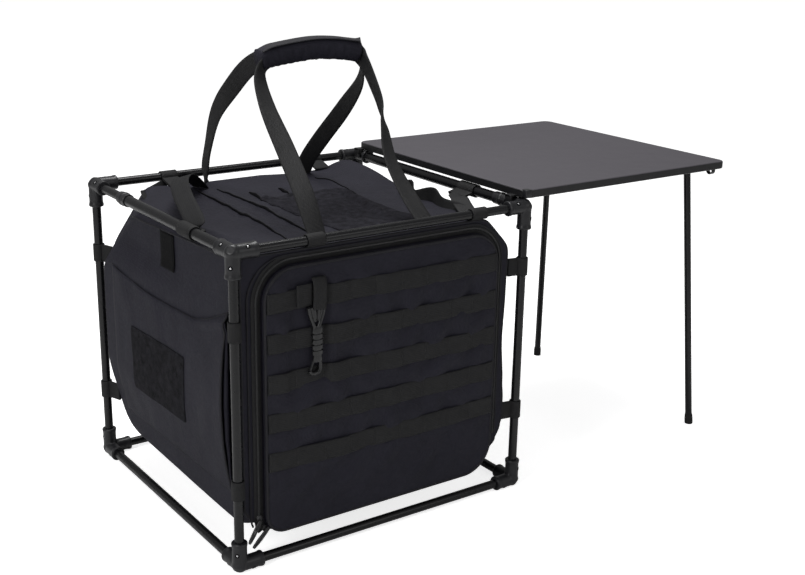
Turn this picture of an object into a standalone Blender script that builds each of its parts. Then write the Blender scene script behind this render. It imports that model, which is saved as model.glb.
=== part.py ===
"""A camp storage box: a soft square bag hung inside a cube of tubes, with a hook-on side table.

Sizes are in metres. While the model is being made, X runs to the right along the front, Y runs
to the back and Z runs up, all measured from the crossing of the tube centre lines at the bottom
front left corner. At the end a parent empty moves everything, so that the origin is the middle
of the base of the whole object.
"""

import math

import bmesh
import bpy
from mathutils import Vector

# Tube frame, measured between tube centre lines
FRAME_WIDTH = 0.436
FRAME_DEPTH = 0.409
FRAME_HEIGHT = 0.400
TUBE_DIAMETER = 0.012
TUBE_WALL = 0.001
SLEEVE_WALL = 0.00095
FIT_GAP = 0.0003

# Corner fittings
SOCKET_DIAMETER = 0.0195
SOCKET_RIM_DIAMETER = 0.0210
SOCKET_RIM_LENGTH = 0.004
SOCKET_REACH = 0.031
SOCKET_FLOOR = 0.012
SOCKET_ROOT = 0.001
CORNER_BALL_DIAMETER = 0.0205
FOOT_FLAT_DROP = 0.0095

# Two-part upper side rails with their twist collars
COLLAR_CENTRE = 0.103
COLLAR_LENGTH = 0.026
COLLAR_DIAMETER = 0.0174
COLLAR_FLANGE_DIAMETER = 0.0188
COLLAR_FLANGE_LENGTH = 0.004
RIGHT_COLLAR_CENTRE = 0.047
SLIM_TUBE_OVERLAP = 0.060

# Bag
BAG_LEFT_GAP = 0.0085
BAG_RIGHT_GAP = 0.021
BAG_BACK_GAP = 0.018
BAG_TOP_DROP = 0.009
BAG_FLOOR_HEIGHT = 0.034
BAG_CORNER_RADIUS = 0.048
LID_SEAM_LAP = 0.004
FABRIC_THICKNESS = 0.003
BORDER_SETBACK = 0.0012
BORDER_WIDTH = 0.040

# Front door of the bag
DOOR_LEFT_MARGIN = 0.0275
DOOR_RIGHT_MARGIN = 0.027
DOOR_TOP_MARGIN = 0.0175
DOOR_DROP = 0.004
DOOR_THICKNESS = 0.008
DOOR_TOP_RADIUS = 0.042
DOOR_BOTTOM_RADIUS = 0.026
WEBBING_WIDTH = 0.025
WEBBING_THICKNESS = 0.0016
ROW_COUNT = 5
ROW_PITCH = 0.0508
TOP_ROW_DROP = 0.041
ROW_END_MARGIN = 0.006
ROW_HEIGHT_PROUD = 0.0014
ROW_SUNK = 0.001

# Side pocket
POCKET_FRONT = 0.030
POCKET_BACK = 0.352
POCKET_BOTTOM = 0.082
POCKET_TOP = 0.300
POCKET_FRONT_RISE = 0.018
POCKET_BULGE = 0.010
POCKET_THICKNESS = 0.0015

# Webbing loops that hang the bag in the frame. The insets are from the left and right posts
FRONT_LEFT_LOOP_HEIGHTS = (0.304, 0.101)
BACK_LEFT_LOOP_HEIGHTS = (0.302, 0.0945)
FRONT_RIGHT_LOOP_HEIGHTS = (0.317, 0.1085)
BACK_RIGHT_LOOP_HEIGHTS = (0.310, 0.1085)
LOOP_WALL = 0.0016
LOOP_TAB_THICKNESS = 0.0025
FRONT_LOOP_INSETS = (0.109, 0.080)
BACK_LOOP_INSETS = (0.110, 0.083)
FRONT_TAB_SLOPE = math.radians(20)
BACK_TAB_SLOPE = math.radians(15)
CORNER_STRAP_WIDTH = 0.038
CORNER_STRAP_THICKNESS = 0.0024
CORNER_STRAP_ROOT_RISE = 0.001
LEFT_STRAP_FROM_FRONT = 0.113
LEFT_STRAP_END_FROM_LEFT = 0.122
LEFT_STRAP_END_FROM_BACK = 0.064
LEFT_STRAP_ARCH = 0.018
RIGHT_STRAP_FROM_FRONT = 0.120
RIGHT_STRAP_END_FROM_RIGHT = 0.074
RIGHT_STRAP_END_FROM_FRONT = 0.050
RIGHT_STRAP_ARCH = 0.008

# Carry handles and the grip wrap that joins them
FRONT_HANDLE_LEFT = 0.131
BACK_HANDLE_LEFT = 0.150
HANDLE_SPACING = 0.166
HANDLE_THICKNESS = 0.0025
HANDLE_TOP = 0.6025
HANDLE_MEETING_OFFSET = 0.0045
HANDLE_MEETING_GAP = 0.0005
HANDLE_CORNER_RADIUS = 0.028
HANDLE_UPRIGHT_BAND = 0.038
HANDLE_BASE_FROM_RAIL = 0.031
GRIP_LENGTH = 0.150
GRIP_THICKNESS = 0.011
GRIP_HEIGHT = 0.031

# Zip sliders, their pulls and the key clip on the door
SLIDER_WIDTH = 0.008
SLIDER_LENGTH = 0.009
SLIDER_THICKNESS = 0.004
UPPER_SLIDER_HEIGHT = 0.0555
LOWER_SLIDER_HEIGHT = 0.0405
LOWER_SLIDER_SHIFT = 0.0066
PULL_LENGTH = 0.030
PULL_DIAMETER = 0.0046
UPPER_PULL_LEAN = math.radians(34)
LOWER_PULL_LEAN = math.radians(50)
CLIP_FROM_LEFT = 0.1045
CLIP_TOP_DROP = 0.0515
CLIP_WIDTH = 0.024
CLIP_LENGTH = 0.090
CLIP_THICKNESS = 0.005
CLIP_HOLE_WIDTH = 0.010
CLIP_HOLE_LENGTH = 0.030

# Side table
TABLE_LENGTH = 0.395
TABLE_OVERLAP = 0.003
TABLE_FRONT_OFFSET = 0.004
TABLE_BACK_INSET = 0.009
TABLE_THICKNESS = 0.011
TABLE_CORNER_RADIUS = 0.012
TABLE_REST_GAP = 0.0006
PANEL_THICKNESS = 0.0045
RIM_WALL = 0.004
HOOK_CENTRE_FROM_CORNER = 0.0195
HOOK_WIDTH = 0.013
HOOK_WALL = 0.004
HOOK_WEB = 0.0026
HOOK_DEPTH = 0.012
LEG_DIAMETER = 0.0105
LEG_WALL = 0.001
LEG_INSET_FROM_END = 0.032
LEG_INSET_FROM_SIDE = 0.046
LEG_SPLAY_OUT = 0.025
LEG_SPLAY_SIDE = 0.030
LEG_SOCKET_DIAMETER = 0.018
LEG_SOCKET_HEIGHT = 0.0095
LEG_STUD_DIAMETER = 0.006
LEG_STUD_LENGTH = 0.0075
FOOT_CAP_DIAMETER = 0.0130
FOOT_CAP_HEIGHT = 0.016
FOOT_CAP_FLOOR = 0.003

ROUND_STEPS = 20
FLOOR = -FOOT_FLAT_DROP
TUBE_RADIUS = TUBE_DIAMETER / 2
SLEEVE_RADIUS = TUBE_RADIUS + FIT_GAP + SLEEVE_WALL
SOCKET_RADIUS = SOCKET_DIAMETER / 2

# Places that follow from the sizes above
BAG_LEFT = BAG_LEFT_GAP
BAG_RIGHT = FRAME_WIDTH - BAG_RIGHT_GAP
BAG_BACK = FRAME_DEPTH - BAG_BACK_GAP
BAG_TOP = FRAME_HEIGHT - BAG_TOP_DROP
BAG_BOTTOM = BAG_FLOOR_HEIGHT
BORDER_BACK = BORDER_SETBACK + FABRIC_THICKNESS
DOOR_BACK = BORDER_SETBACK - FIT_GAP
DOOR_FRONT = DOOR_BACK - DOOR_THICKNESS
DOOR_LEFT = BAG_LEFT + DOOR_LEFT_MARGIN
DOOR_RIGHT = BAG_RIGHT - DOOR_RIGHT_MARGIN
DOOR_TOP = BAG_TOP - DOOR_TOP_MARGIN
DOOR_BOTTOM = BAG_BOTTOM - DOOR_DROP
CLIP_TOP = DOOR_TOP - CLIP_TOP_DROP
ZIP_LINE = DOOR_LEFT - SLIDER_WIDTH
TABLE_UNDERSIDE = FRAME_HEIGHT + SOCKET_RIM_DIAMETER / 2 + TABLE_REST_GAP
TABLE_TOP = TABLE_UNDERSIDE + TABLE_THICKNESS
PANEL_UNDERSIDE = TABLE_TOP - PANEL_THICKNESS
TABLE_LEFT = FRAME_WIDTH - TABLE_OVERLAP
TABLE_FRONT = -TABLE_FRONT_OFFSET
TABLE_DEPTH = FRAME_DEPTH - TABLE_BACK_INSET - TABLE_FRONT
FRONT_HANDLE_BASE = HANDLE_BASE_FROM_RAIL
BACK_HANDLE_BASE = FRAME_DEPTH - HANDLE_BASE_FROM_RAIL
HANDLE_MEETING_LINE = FRAME_DEPTH / 2 - HANDLE_MEETING_OFFSET


def clear_scene():
    """Remove whatever the scene holds."""
    for existing in list(bpy.data.objects):
        bpy.data.objects.remove(existing, do_unlink=True)


def new_collection(name):
    """Make a collection in the scene."""
    collection = bpy.data.collections.new(name)
    bpy.context.scene.collection.children.link(collection)
    return collection


def new_material(name, colour, roughness, metallic=0.0):
    """Make a plain material with a colour, roughness and metallic value."""
    material = bpy.data.materials.new(name)
    material.use_nodes = True
    shader = material.node_tree.nodes["Principled BSDF"]
    shader.inputs["Base Color"].default_value = (*colour, 1.0)
    shader.inputs["Roughness"].default_value = roughness
    shader.inputs["Metallic"].default_value = metallic
    return material


clear_scene()
PARTS = new_collection("camp_storage_box")
CUTTERS = new_collection("cutters")
ROOT = bpy.data.objects.new("storage_box_root", None)
PARTS.objects.link(ROOT)

TUBE_METAL = new_material("black_anodised_tube", (0.030, 0.030, 0.032), 0.35, 0.8)
CORNER_PLASTIC = new_material("black_moulded_nylon", (0.035, 0.035, 0.038), 0.45)
CANVAS = new_material("black_canvas", (0.022, 0.021, 0.026), 0.9)
WEBBING = new_material("black_webbing", (0.026, 0.026, 0.026), 0.85)
ZIP_METAL = new_material("black_zip_metal", (0.04, 0.04, 0.04), 0.4, 0.6)
CLIP_PLASTIC = new_material("black_clip_plastic", (0.03, 0.03, 0.03), 0.5)
TABLE_BOARD = new_material("dark_grey_board", (0.085, 0.080, 0.085), 0.55)
TABLE_EDGE = new_material("black_table_edge", (0.02, 0.02, 0.022), 0.5)
FOOT_RUBBER = new_material("black_foot_rubber", (0.015, 0.015, 0.015), 0.8)


def finish_part(part, material):
    """Put an object in the model, under the root empty, with its material."""
    if part.type == "CURVE":
        part = as_mesh(part)
    PARTS.objects.link(part)
    part.data.materials.clear()
    part.data.materials.append(material)
    if part.parent is None:
        part.parent = ROOT
    return part


def finish_cutter(tool):
    """Keep a helper shape out of the model, drawn as wire."""
    CUTTERS.objects.link(tool)
    tool.hide_render = True
    tool.display_type = "WIRE"
    tool.parent = ROOT
    return tool


def point_along(part, start, direction):
    """Stand an object's local Z axis along a direction, with its origin at the start."""
    part.location = start
    part.rotation_euler = Vector(direction).to_track_quat("Z", "Y").to_euler()
    return part


def turned_shape(name, profile, closed=False, steps=ROUND_STEPS):
    """Turn a profile of (radius, height) points about Z; it runs down the outer side."""
    mesh = bpy.data.meshes.new(name)
    points = [(radius, 0.0, height) for radius, height in profile]
    edges = [(index, index + 1) for index in range(len(points) - 1)]
    if closed:
        edges.append((len(points) - 1, 0))
    mesh.from_pydata(points, edges, [])
    part = bpy.data.objects.new(name, mesh)
    screw = part.modifiers.new("turn", "SCREW")
    screw.steps = steps
    screw.render_steps = steps
    screw.use_merge_vertices = True
    screw.merge_threshold = 0.00001
    screw.use_smooth_shade = True
    return part


def mesh_shape(name, build):
    """Make an object from a function that fills a bmesh."""
    mesh = bpy.data.meshes.new(name)
    shape = bmesh.new()
    build(shape)
    shape.to_mesh(mesh)
    shape.free()
    return bpy.data.objects.new(name, mesh)


def box_shape(name, low, high):
    """Make a box between two corners."""
    low, high = Vector(low), Vector(high)

    def build(shape):
        bmesh.ops.create_cube(shape, size=1.0)
        for vertex in shape.verts:
            for axis in range(3):
                middle = (low[axis] + high[axis]) / 2
                vertex.co[axis] = middle + vertex.co[axis] * (high[axis] - low[axis])

    return mesh_shape(name, build)


def rod_shape(name, start, end, radius, steps=ROUND_STEPS):
    """Make a solid round rod between two points."""
    start, end = Vector(start), Vector(end)

    def build(shape):
        length = (end - start).length
        bmesh.ops.create_cone(
            shape, cap_ends=True, segments=steps, radius1=radius, radius2=radius, depth=length
        )
        bmesh.ops.translate(shape, verts=shape.verts, vec=(0, 0, length / 2))

    return point_along(mesh_shape(name, build), start, end - start)


def flat_shape(name, outlines, thickness):
    """Make a flat plate from closed outlines in local XY; an inner outline is a hole."""
    curve = bpy.data.curves.new(name, "CURVE")
    curve.dimensions = "2D"
    curve.fill_mode = "BOTH"
    curve.extrude = thickness / 2
    for outline in outlines:
        spline = curve.splines.new("POLY")
        spline.points.add(len(outline) - 1)
        for point, place in zip(spline.points, outline):
            point.co = (place[0], place[1], 0.0, 1.0)
        spline.use_cyclic_u = True
    return bpy.data.objects.new(name, curve)


def as_mesh(part):
    """Turn a curve object into a mesh object with its caps welded."""
    bpy.context.scene.collection.objects.link(part)
    bpy.context.view_layer.update()
    evaluated = part.evaluated_get(bpy.context.evaluated_depsgraph_get())
    mesh = bpy.data.meshes.new_from_object(evaluated)
    shape = bmesh.new()
    shape.from_mesh(mesh)
    bmesh.ops.remove_doubles(shape, verts=shape.verts, dist=0.00001)
    shape.to_mesh(mesh)
    shape.free()
    name = part.name
    placed = part.matrix_world.copy()
    bpy.data.objects.remove(part, do_unlink=True)
    solid = bpy.data.objects.new(name, mesh)
    solid.matrix_world = placed
    return solid


def combine(part, tool, operation):
    """Join a helper shape to a part or cut it out."""
    finish_cutter(tool)
    boolean = part.modifiers.new(operation.lower(), "BOOLEAN")
    boolean.operation = operation
    boolean.solver = "EXACT"
    boolean.object = tool


def arc_points(centre, radius, first, last, steps):
    """Points of an arc in a plane, angles in degrees."""
    points = []
    for step in range(steps + 1):
        angle = math.radians(first + (last - first) * step / steps)
        points.append((centre[0] + radius * math.cos(angle), centre[1] + radius * math.sin(angle)))
    return points


def rounded_rectangle(low, high, radii, steps=6):
    """Outline with a radius for each corner: low left, low right, high right, high left."""
    corners = (
        ((low[0] + radii[0], low[1] + radii[0]), radii[0], 180),
        ((high[0] - radii[1], low[1] + radii[1]), radii[1], 270),
        ((high[0] - radii[2], high[1] - radii[2]), radii[2], 0),
        ((low[0] + radii[3], high[1] - radii[3]), radii[3], 90),
    )
    outline = []
    for centre, radius, start in corners:
        outline += arc_points(centre, radius, start, start + 90, steps)
    return outline


def face_forward(part, depth):
    """Stand a plate drawn in local XY upright, facing the front, centred at a depth."""
    part.rotation_euler = (math.radians(90), 0, 0)
    part.location = (0, depth, 0)
    return part


def pipe(name, start, end, outer_radius, wall, material):
    """A hollow tube between two points."""
    length = (Vector(end) - Vector(start)).length
    inner = outer_radius - wall
    profile = ((outer_radius, length), (outer_radius, 0), (inner, 0), (inner, length))
    part = turned_shape(name, profile, closed=True)
    point_along(part, start, Vector(end) - Vector(start))
    return finish_part(part, material)


def socket_profile():
    """Side profile of a corner's socket: a plain barrel with a thicker rim at its mouth."""
    rim_start = SOCKET_REACH - SOCKET_RIM_LENGTH
    return (
        (0, SOCKET_REACH),
        (SOCKET_RIM_DIAMETER / 2, SOCKET_REACH),
        (SOCKET_RIM_DIAMETER / 2, rim_start),
        (SOCKET_RADIUS, rim_start),
        (SOCKET_RADIUS, SOCKET_ROOT),
        (0, SOCKET_ROOT),
    )


def corner_fitting(name, place, inward, bores):
    """A three-way moulded corner: a ball, three sockets and their blind bores."""
    ball = bpy.data.objects.new(name, bpy.data.meshes.new(name))
    shape = bmesh.new()
    bmesh.ops.create_uvsphere(
        shape, u_segments=ROUND_STEPS, v_segments=ROUND_STEPS // 2, radius=CORNER_BALL_DIAMETER / 2
    )
    shape.to_mesh(ball.data)
    shape.free()
    ball.location = place
    place = Vector(place)
    for axis in range(3):
        way = Vector((0, 0, 0))
        way[axis] = inward[axis]
        steps = ROUND_STEPS + 2 * axis
        socket = turned_shape(f"{name}_socket_{axis}", socket_profile(), steps=steps)
        combine(ball, point_along(socket, place, way), "UNION")
    for axis in range(3):
        way = Vector((0, 0, 0))
        way[axis] = inward[axis]
        stop = place + way * SOCKET_FLOOR
        beyond = place + way * (SOCKET_REACH + SOCKET_RIM_LENGTH)
        combine(ball, rod_shape(f"{name}_bore_{axis}", stop, beyond, bores[axis]), "DIFFERENCE")
    if inward[2] > 0:
        reach = SOCKET_REACH + SOCKET_RIM_LENGTH
        low = (place.x - reach, place.y - reach, FLOOR - SOCKET_RADIUS)
        high = (place.x + reach, place.y + reach, FLOOR)
        combine(ball, box_shape(f"{name}_flat", low, high), "DIFFERENCE")
    finish_part(ball, CORNER_PLASTIC)


def corner_fittings():
    """The eight corners; two of the top ones take the thicker sleeve tube at the side."""
    plain = TUBE_RADIUS + FIT_GAP
    sleeve = SLEEVE_RADIUS + FIT_GAP
    for level, height, up in (("bottom", 0.0, 1), ("top", FRAME_HEIGHT, -1)):
        for end, depth, back in (("front", 0.0, 1), ("back", FRAME_DEPTH, -1)):
            for side, across, right in (("left", 0.0, 1), ("right", FRAME_WIDTH, -1)):
                holds_sleeve = level == "top" and (end, side) in (("front", "left"), ("back", "right"))
                bores = (plain, sleeve if holds_sleeve else plain, plain)
                name = f"corner_{level}_{end}_{side}"
                corner_fitting(name, (across, depth, height), (right, back, up), bores)


def frame_tubes():
    """Posts and plain rails, each running from socket floor to socket floor."""
    inset = SOCKET_FLOOR + FIT_GAP
    for end, depth in (("front", 0.0), ("back", FRAME_DEPTH)):
        for side, across in (("left", 0.0), ("right", FRAME_WIDTH)):
            bottom = (across, depth, inset)
            top = (across, depth, FRAME_HEIGHT - inset)
            pipe(f"post_{end}_{side}", bottom, top, TUBE_RADIUS, TUBE_WALL, TUBE_METAL)
        for level, height in (("bottom", 0.0), ("top", FRAME_HEIGHT)):
            left = (inset, depth, height)
            right = (FRAME_WIDTH - inset, depth, height)
            pipe(f"rail_{level}_{end}", left, right, TUBE_RADIUS, TUBE_WALL, TUBE_METAL)
    for side, across in (("left", 0.0), ("right", FRAME_WIDTH)):
        front = (across, inset, 0.0)
        back = (across, FRAME_DEPTH - inset, 0.0)
        pipe(f"rail_bottom_{side}", front, back, TUBE_RADIUS, TUBE_WALL, TUBE_METAL)


def telescopic_rail(side, across, sleeve_end, slim_end, collar_centre):
    """An upper side rail: a sleeve from one corner, a slim tube from the other and a collar."""
    way = 1 if slim_end > sleeve_end else -1
    inset = SOCKET_FLOOR + FIT_GAP
    sleeve_start = (across, sleeve_end + way * inset, FRAME_HEIGHT)
    sleeve_stop = (across, collar_centre, FRAME_HEIGHT)
    pipe(f"rail_top_{side}", sleeve_start, sleeve_stop, SLEEVE_RADIUS, SLEEVE_WALL, TUBE_METAL)
    slim_start = (across, collar_centre - way * SLIM_TUBE_OVERLAP, FRAME_HEIGHT)
    slim_stop = (across, slim_end - way * inset, FRAME_HEIGHT)
    pipe(f"rail_top_{side}_slim", slim_start, slim_stop, TUBE_RADIUS, TUBE_WALL, TUBE_METAL)
    half = COLLAR_LENGTH / 2
    flange = COLLAR_FLANGE_LENGTH / 2
    outer = COLLAR_DIAMETER / 2
    nose = TUBE_RADIUS + FIT_GAP
    throat = SLEEVE_RADIUS + FIT_GAP
    profile = (
        (outer - SLEEVE_WALL, half),
        (outer, flange),
        (COLLAR_FLANGE_DIAMETER / 2, flange),
        (COLLAR_FLANGE_DIAMETER / 2, -flange),
        (outer, -flange),
        (outer, -half),
        (throat, -half),
        (throat, FIT_GAP),
        (nose, FIT_GAP),
        (nose, half),
    )
    collar = turned_shape(f"rail_collar_{side}", profile, closed=True)
    point_along(collar, (across, collar_centre, FRAME_HEIGHT), (0, way, 0))
    finish_part(collar, CORNER_PLASTIC)


def bag_section(steps=6):
    """The wrap's section in the XZ plane, from the lid's left edge round to its right edge."""
    radius = BAG_CORNER_RADIUS
    left = BAG_LEFT + radius
    right = BAG_RIGHT - radius
    low = BAG_BOTTOM + radius
    high = BAG_TOP - radius
    points = [(left + LID_SEAM_LAP, BAG_TOP)]
    points += arc_points((left, high), radius, 90, 180, steps)
    points += arc_points((left, low), radius, 180, 270, steps)
    points += arc_points((right, low), radius, 270, 360, steps)
    points += arc_points((right, high), radius, 0, 90, steps)
    points.append((right - LID_SEAM_LAP, BAG_TOP))
    return points


def bag_wrap():
    """The sewn wrap of the bag: both sides, the floor and the rounded shoulders."""
    front = BORDER_BACK + FIT_GAP
    back = BAG_BACK - FABRIC_THICKNESS - FIT_GAP

    def build(shape):
        row = [shape.verts.new((x, front, z)) for x, z in bag_section()]
        edges = [shape.edges.new(pair) for pair in zip(row, row[1:])]
        swept = bmesh.ops.extrude_edge_only(shape, edges=edges)["geom"]
        moved = [item for item in swept if isinstance(item, bmesh.types.BMVert)]
        bmesh.ops.translate(shape, verts=moved, vec=(0, back - front, 0))
        bmesh.ops.recalc_face_normals(shape, faces=shape.faces)
        middle = Vector(((BAG_LEFT + BAG_RIGHT) / 2, front, (BAG_BOTTOM + BAG_TOP) / 2))
        shape.faces.ensure_lookup_table()
        lowest = min(shape.faces, key=lambda face: face.calc_center_median().z)
        if (lowest.calc_center_median() - middle).dot(lowest.normal) < 0:
            bmesh.ops.reverse_faces(shape, faces=shape.faces)

    part = mesh_shape("bag_wrap", build)
    solid = part.modifiers.new("fabric", "SOLIDIFY")
    solid.thickness = FABRIC_THICKNESS
    solid.offset = -1
    finish_part(part, CANVAS)


def bag_outline(margin=0.0, steps=6):
    """The bag's full rounded outline in XZ, drawn inwards by a margin."""
    radius = BAG_CORNER_RADIUS - margin
    low = (BAG_LEFT + margin, BAG_BOTTOM + margin)
    high = (BAG_RIGHT - margin, BAG_TOP - margin)
    return rounded_rectangle(low, high, (radius,) * 4, steps)


def bag_ends():
    """The back panel and the front border round the doorway."""
    half = FABRIC_THICKNESS / 2
    back = flat_shape("bag_back", [bag_outline()], FABRIC_THICKNESS)
    finish_part(face_forward(back, BAG_BACK - half), CANVAS)
    doorway = rounded_rectangle(
        (BAG_LEFT + BORDER_WIDTH, BAG_BOTTOM + BORDER_WIDTH / 2),
        (BAG_RIGHT - BORDER_WIDTH, BAG_TOP - BORDER_WIDTH),
        (BORDER_WIDTH / 2, BORDER_WIDTH / 2, BORDER_WIDTH, BORDER_WIDTH),
    )
    border = flat_shape("bag_front_border", [bag_outline(), doorway], FABRIC_THICKNESS)
    finish_part(face_forward(border, BORDER_SETBACK + half), CANVAS)


def bag_lid():
    """The flat top of the bag between the shoulders."""
    low = (
        BAG_LEFT + BAG_CORNER_RADIUS + LID_SEAM_LAP + FIT_GAP,
        BORDER_BACK + FIT_GAP,
        BAG_TOP - FABRIC_THICKNESS,
    )
    high = (
        BAG_RIGHT - BAG_CORNER_RADIUS - LID_SEAM_LAP - FIT_GAP,
        BAG_BACK - FABRIC_THICKNESS - FIT_GAP,
        BAG_TOP,
    )
    finish_part(box_shape("bag_lid", low, high), CANVAS)


def front_door():
    """The padded door with its rows of webbing; its origin is on its bottom hinge line."""
    middle = (DOOR_FRONT + DOOR_BACK) / 2
    outline = rounded_rectangle(
        (DOOR_LEFT, DOOR_BOTTOM),
        (DOOR_RIGHT, DOOR_TOP),
        (DOOR_BOTTOM_RADIUS, DOOR_BOTTOM_RADIUS, DOOR_TOP_RADIUS, DOOR_TOP_RADIUS),
    )
    lowered = [(x, z - DOOR_BOTTOM) for x, z in outline]
    door = as_mesh(face_forward(flat_shape("front_door", [lowered], DOOR_THICKNESS), 0))
    door.location = (0, middle, DOOR_BOTTOM)
    for row in range(ROW_COUNT):
        centre = DOOR_TOP - TOP_ROW_DROP - row * ROW_PITCH
        low = (DOOR_LEFT + ROW_END_MARGIN, DOOR_FRONT - ROW_HEIGHT_PROUD, centre - WEBBING_WIDTH / 2)
        high = (DOOR_RIGHT - ROW_END_MARGIN, DOOR_FRONT + ROW_SUNK, centre + WEBBING_WIDTH / 2)
        combine(door, box_shape(f"webbing_row_{row}", low, high), "UNION")
    finish_part(door, CANVAS)


def pocket_top(along):
    """Height of the pocket's top seam, which rises to the mouth at the front."""
    return POCKET_TOP + POCKET_FRONT_RISE * (1 - along) ** 4


def side_pocket():
    """The pocket sheet on the left side, standing off the wrap at its open front edge."""
    columns, rows = 10, 8

    def build(shape):
        grid = []
        for column in range(columns + 1):
            along = column / columns
            line = []
            for row in range(rows + 1):
                up = row / rows
                depth = POCKET_FRONT + (POCKET_BACK - POCKET_FRONT) * along
                height = POCKET_BOTTOM + (pocket_top(along) - POCKET_BOTTOM) * up
                swell = POCKET_BULGE * (1 - along) ** 1.5 * math.sin(math.pi * up)
                line.append(shape.verts.new((BAG_LEFT - FIT_GAP - swell, depth, height)))
            grid.append(line)
        for column in range(columns):
            for row in range(rows):
                corners = (
                    grid[column][row],
                    grid[column][row + 1],
                    grid[column + 1][row + 1],
                    grid[column + 1][row],
                )
                shape.faces.new(corners)

    part = mesh_shape("side_pocket", build)
    solid = part.modifiers.new("cloth", "SOLIDIFY")
    solid.thickness = POCKET_THICKNESS
    solid.offset = 1
    finish_part(part, CANVAS)


def loop_outlines(tube_radius, reach):
    """A band round a tube with a tab that reaches out along local X."""
    inner = tube_radius + FIT_GAP
    outer = inner + LOOP_WALL
    half = LOOP_TAB_THICKNESS / 2
    start = math.degrees(math.asin(half / outer))
    band = arc_points((0, 0), outer, start, 360 - start, ROUND_STEPS)
    hole = arc_points((0, 0), inner, 0, 360 - 360 / ROUND_STEPS, ROUND_STEPS - 1)
    return [band + [(reach, -half), (reach, half)], hole]


def webbing_loop(name, place, axis, toward, reach, width=WEBBING_WIDTH, tube_radius=TUBE_RADIUS):
    """A sewn webbing loop round a tube; the tab points toward the bag."""
    part = flat_shape(name, loop_outlines(tube_radius, reach), width)
    axis, toward = Vector(axis).normalized(), Vector(toward).normalized()
    side = axis.cross(toward)
    turn = [[toward[row], side[row], axis[row]] for row in range(3)]
    matrix = part.matrix_world.to_3x3()
    for row in range(3):
        matrix[row] = turn[row]
    part.rotation_euler = matrix.to_euler()
    part.location = place
    return part


def post_loops():
    """Two loops on each post, with tabs that reach the bag's nearest edge."""
    front_edge = BORDER_SETBACK + FABRIC_THICKNESS / 2
    posts = (
        ("front_left", 0, 0, BAG_LEFT, front_edge, FRONT_LEFT_LOOP_HEIGHTS),
        ("back_left", 0, FRAME_DEPTH, BAG_LEFT, BAG_BACK, BACK_LEFT_LOOP_HEIGHTS),
        ("front_right", FRAME_WIDTH, 0, BAG_RIGHT, front_edge, FRONT_RIGHT_LOOP_HEIGHTS),
        ("back_right", FRAME_WIDTH, FRAME_DEPTH, BAG_RIGHT, BAG_BACK, BACK_RIGHT_LOOP_HEIGHTS),
    )
    for where, across, depth, edge_x, edge_y, heights in posts:
        toward = Vector((edge_x - across, edge_y - depth, 0))
        lean = abs(toward.y) / toward.length
        reach = toward.length - FIT_GAP - LOOP_TAB_THICKNESS / 2 * lean
        for level, height in zip(("upper", "lower"), heights):
            name = f"post_loop_{where}_{level}"
            loop = webbing_loop(name, (across, depth, height), (0, 0, 1), toward, reach)
            finish_part(loop, WEBBING)


def rail_loops():
    """Loops on the upper front and back rails, with tabs that lie down onto the lid."""
    drop = FRAME_HEIGHT - BAG_TOP - FIT_GAP
    rails = (
        ("front", 0.0, 1, FRONT_TAB_SLOPE, FRONT_LOOP_INSETS),
        ("back", FRAME_DEPTH, -1, BACK_TAB_SLOPE, BACK_LOOP_INSETS),
    )
    for end, depth, inward, slope, insets in rails:
        reach = (drop - LOOP_TAB_THICKNESS / 2 * math.cos(slope)) / math.sin(slope)
        toward = (0, inward * math.cos(slope), -math.sin(slope))
        places = (insets[0], FRAME_WIDTH - insets[1])
        for side, across in zip(("left", "right"), places):
            place = (across, depth, FRAME_HEIGHT)
            loop = webbing_loop(f"rail_loop_{end}_{side}", place, (1, 0, 0), toward, reach)
            finish_part(loop, WEBBING)


def ribbon_shape(name, path, width, thickness, first_across):
    """A flat strap along a path; it starts with its width one way and turns square to its run."""

    def build(shape):
        rings = []
        for index, centre in enumerate(path):
            ahead = path[min(index + 1, len(path) - 1)] - path[max(index - 1, 0)]
            square = Vector((0, 0, 1)).cross(ahead).normalized()
            share = min(1.0, 2 * index / len(path))
            across = first_across.lerp(square, share).normalized()
            up = ahead.cross(across).normalized()
            ring = []
            for side, lift in ((-1, -1), (1, -1), (1, 1), (-1, 1)):
                offset = across * side * width / 2 + up * lift * thickness / 2
                ring.append(shape.verts.new(centre + offset))
            rings.append(ring)
        for ring, following in zip(rings, rings[1:]):
            for corner in range(4):
                after = (corner + 1) % 4
                shape.faces.new((ring[corner], ring[after], following[after], following[corner]))
        shape.faces.new(rings[0])
        shape.faces.new(rings[-1])
        bmesh.ops.recalc_face_normals(shape, faces=shape.faces)

    return mesh_shape(name, build)


def smooth_path(points, steps):
    """A smooth curve through a few points, as a list of places."""
    path = []
    for index in range(len(points) - 1):
        before = points[max(index - 1, 0)]
        after = points[min(index + 2, len(points) - 1)]
        start, end = points[index], points[index + 1]
        for step in range(steps):
            t = step / steps
            place = start * (2 * t**3 - 3 * t**2 + 1) + end * (3 * t**2 - 2 * t**3)
            place += (end - before) / 2 * (t**3 - 2 * t**2 + t)
            place += (after - start) / 2 * (t**3 - t**2)
            path.append(place)
    path.append(points[-1])
    return path


def strap_route(start, end, arch, bow):
    """A few places on an arch from a rail to the lid; the bow delays its run to the back."""
    route = []
    for share in (0.0, 0.2, 0.45, 0.73, 1.0):
        place = start.lerp(end, share)
        place.y = start.y + (end.y - start.y) * share**bow
        place.z += arch * math.sin(math.pi * share)
        route.append(place)
    return route


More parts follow.
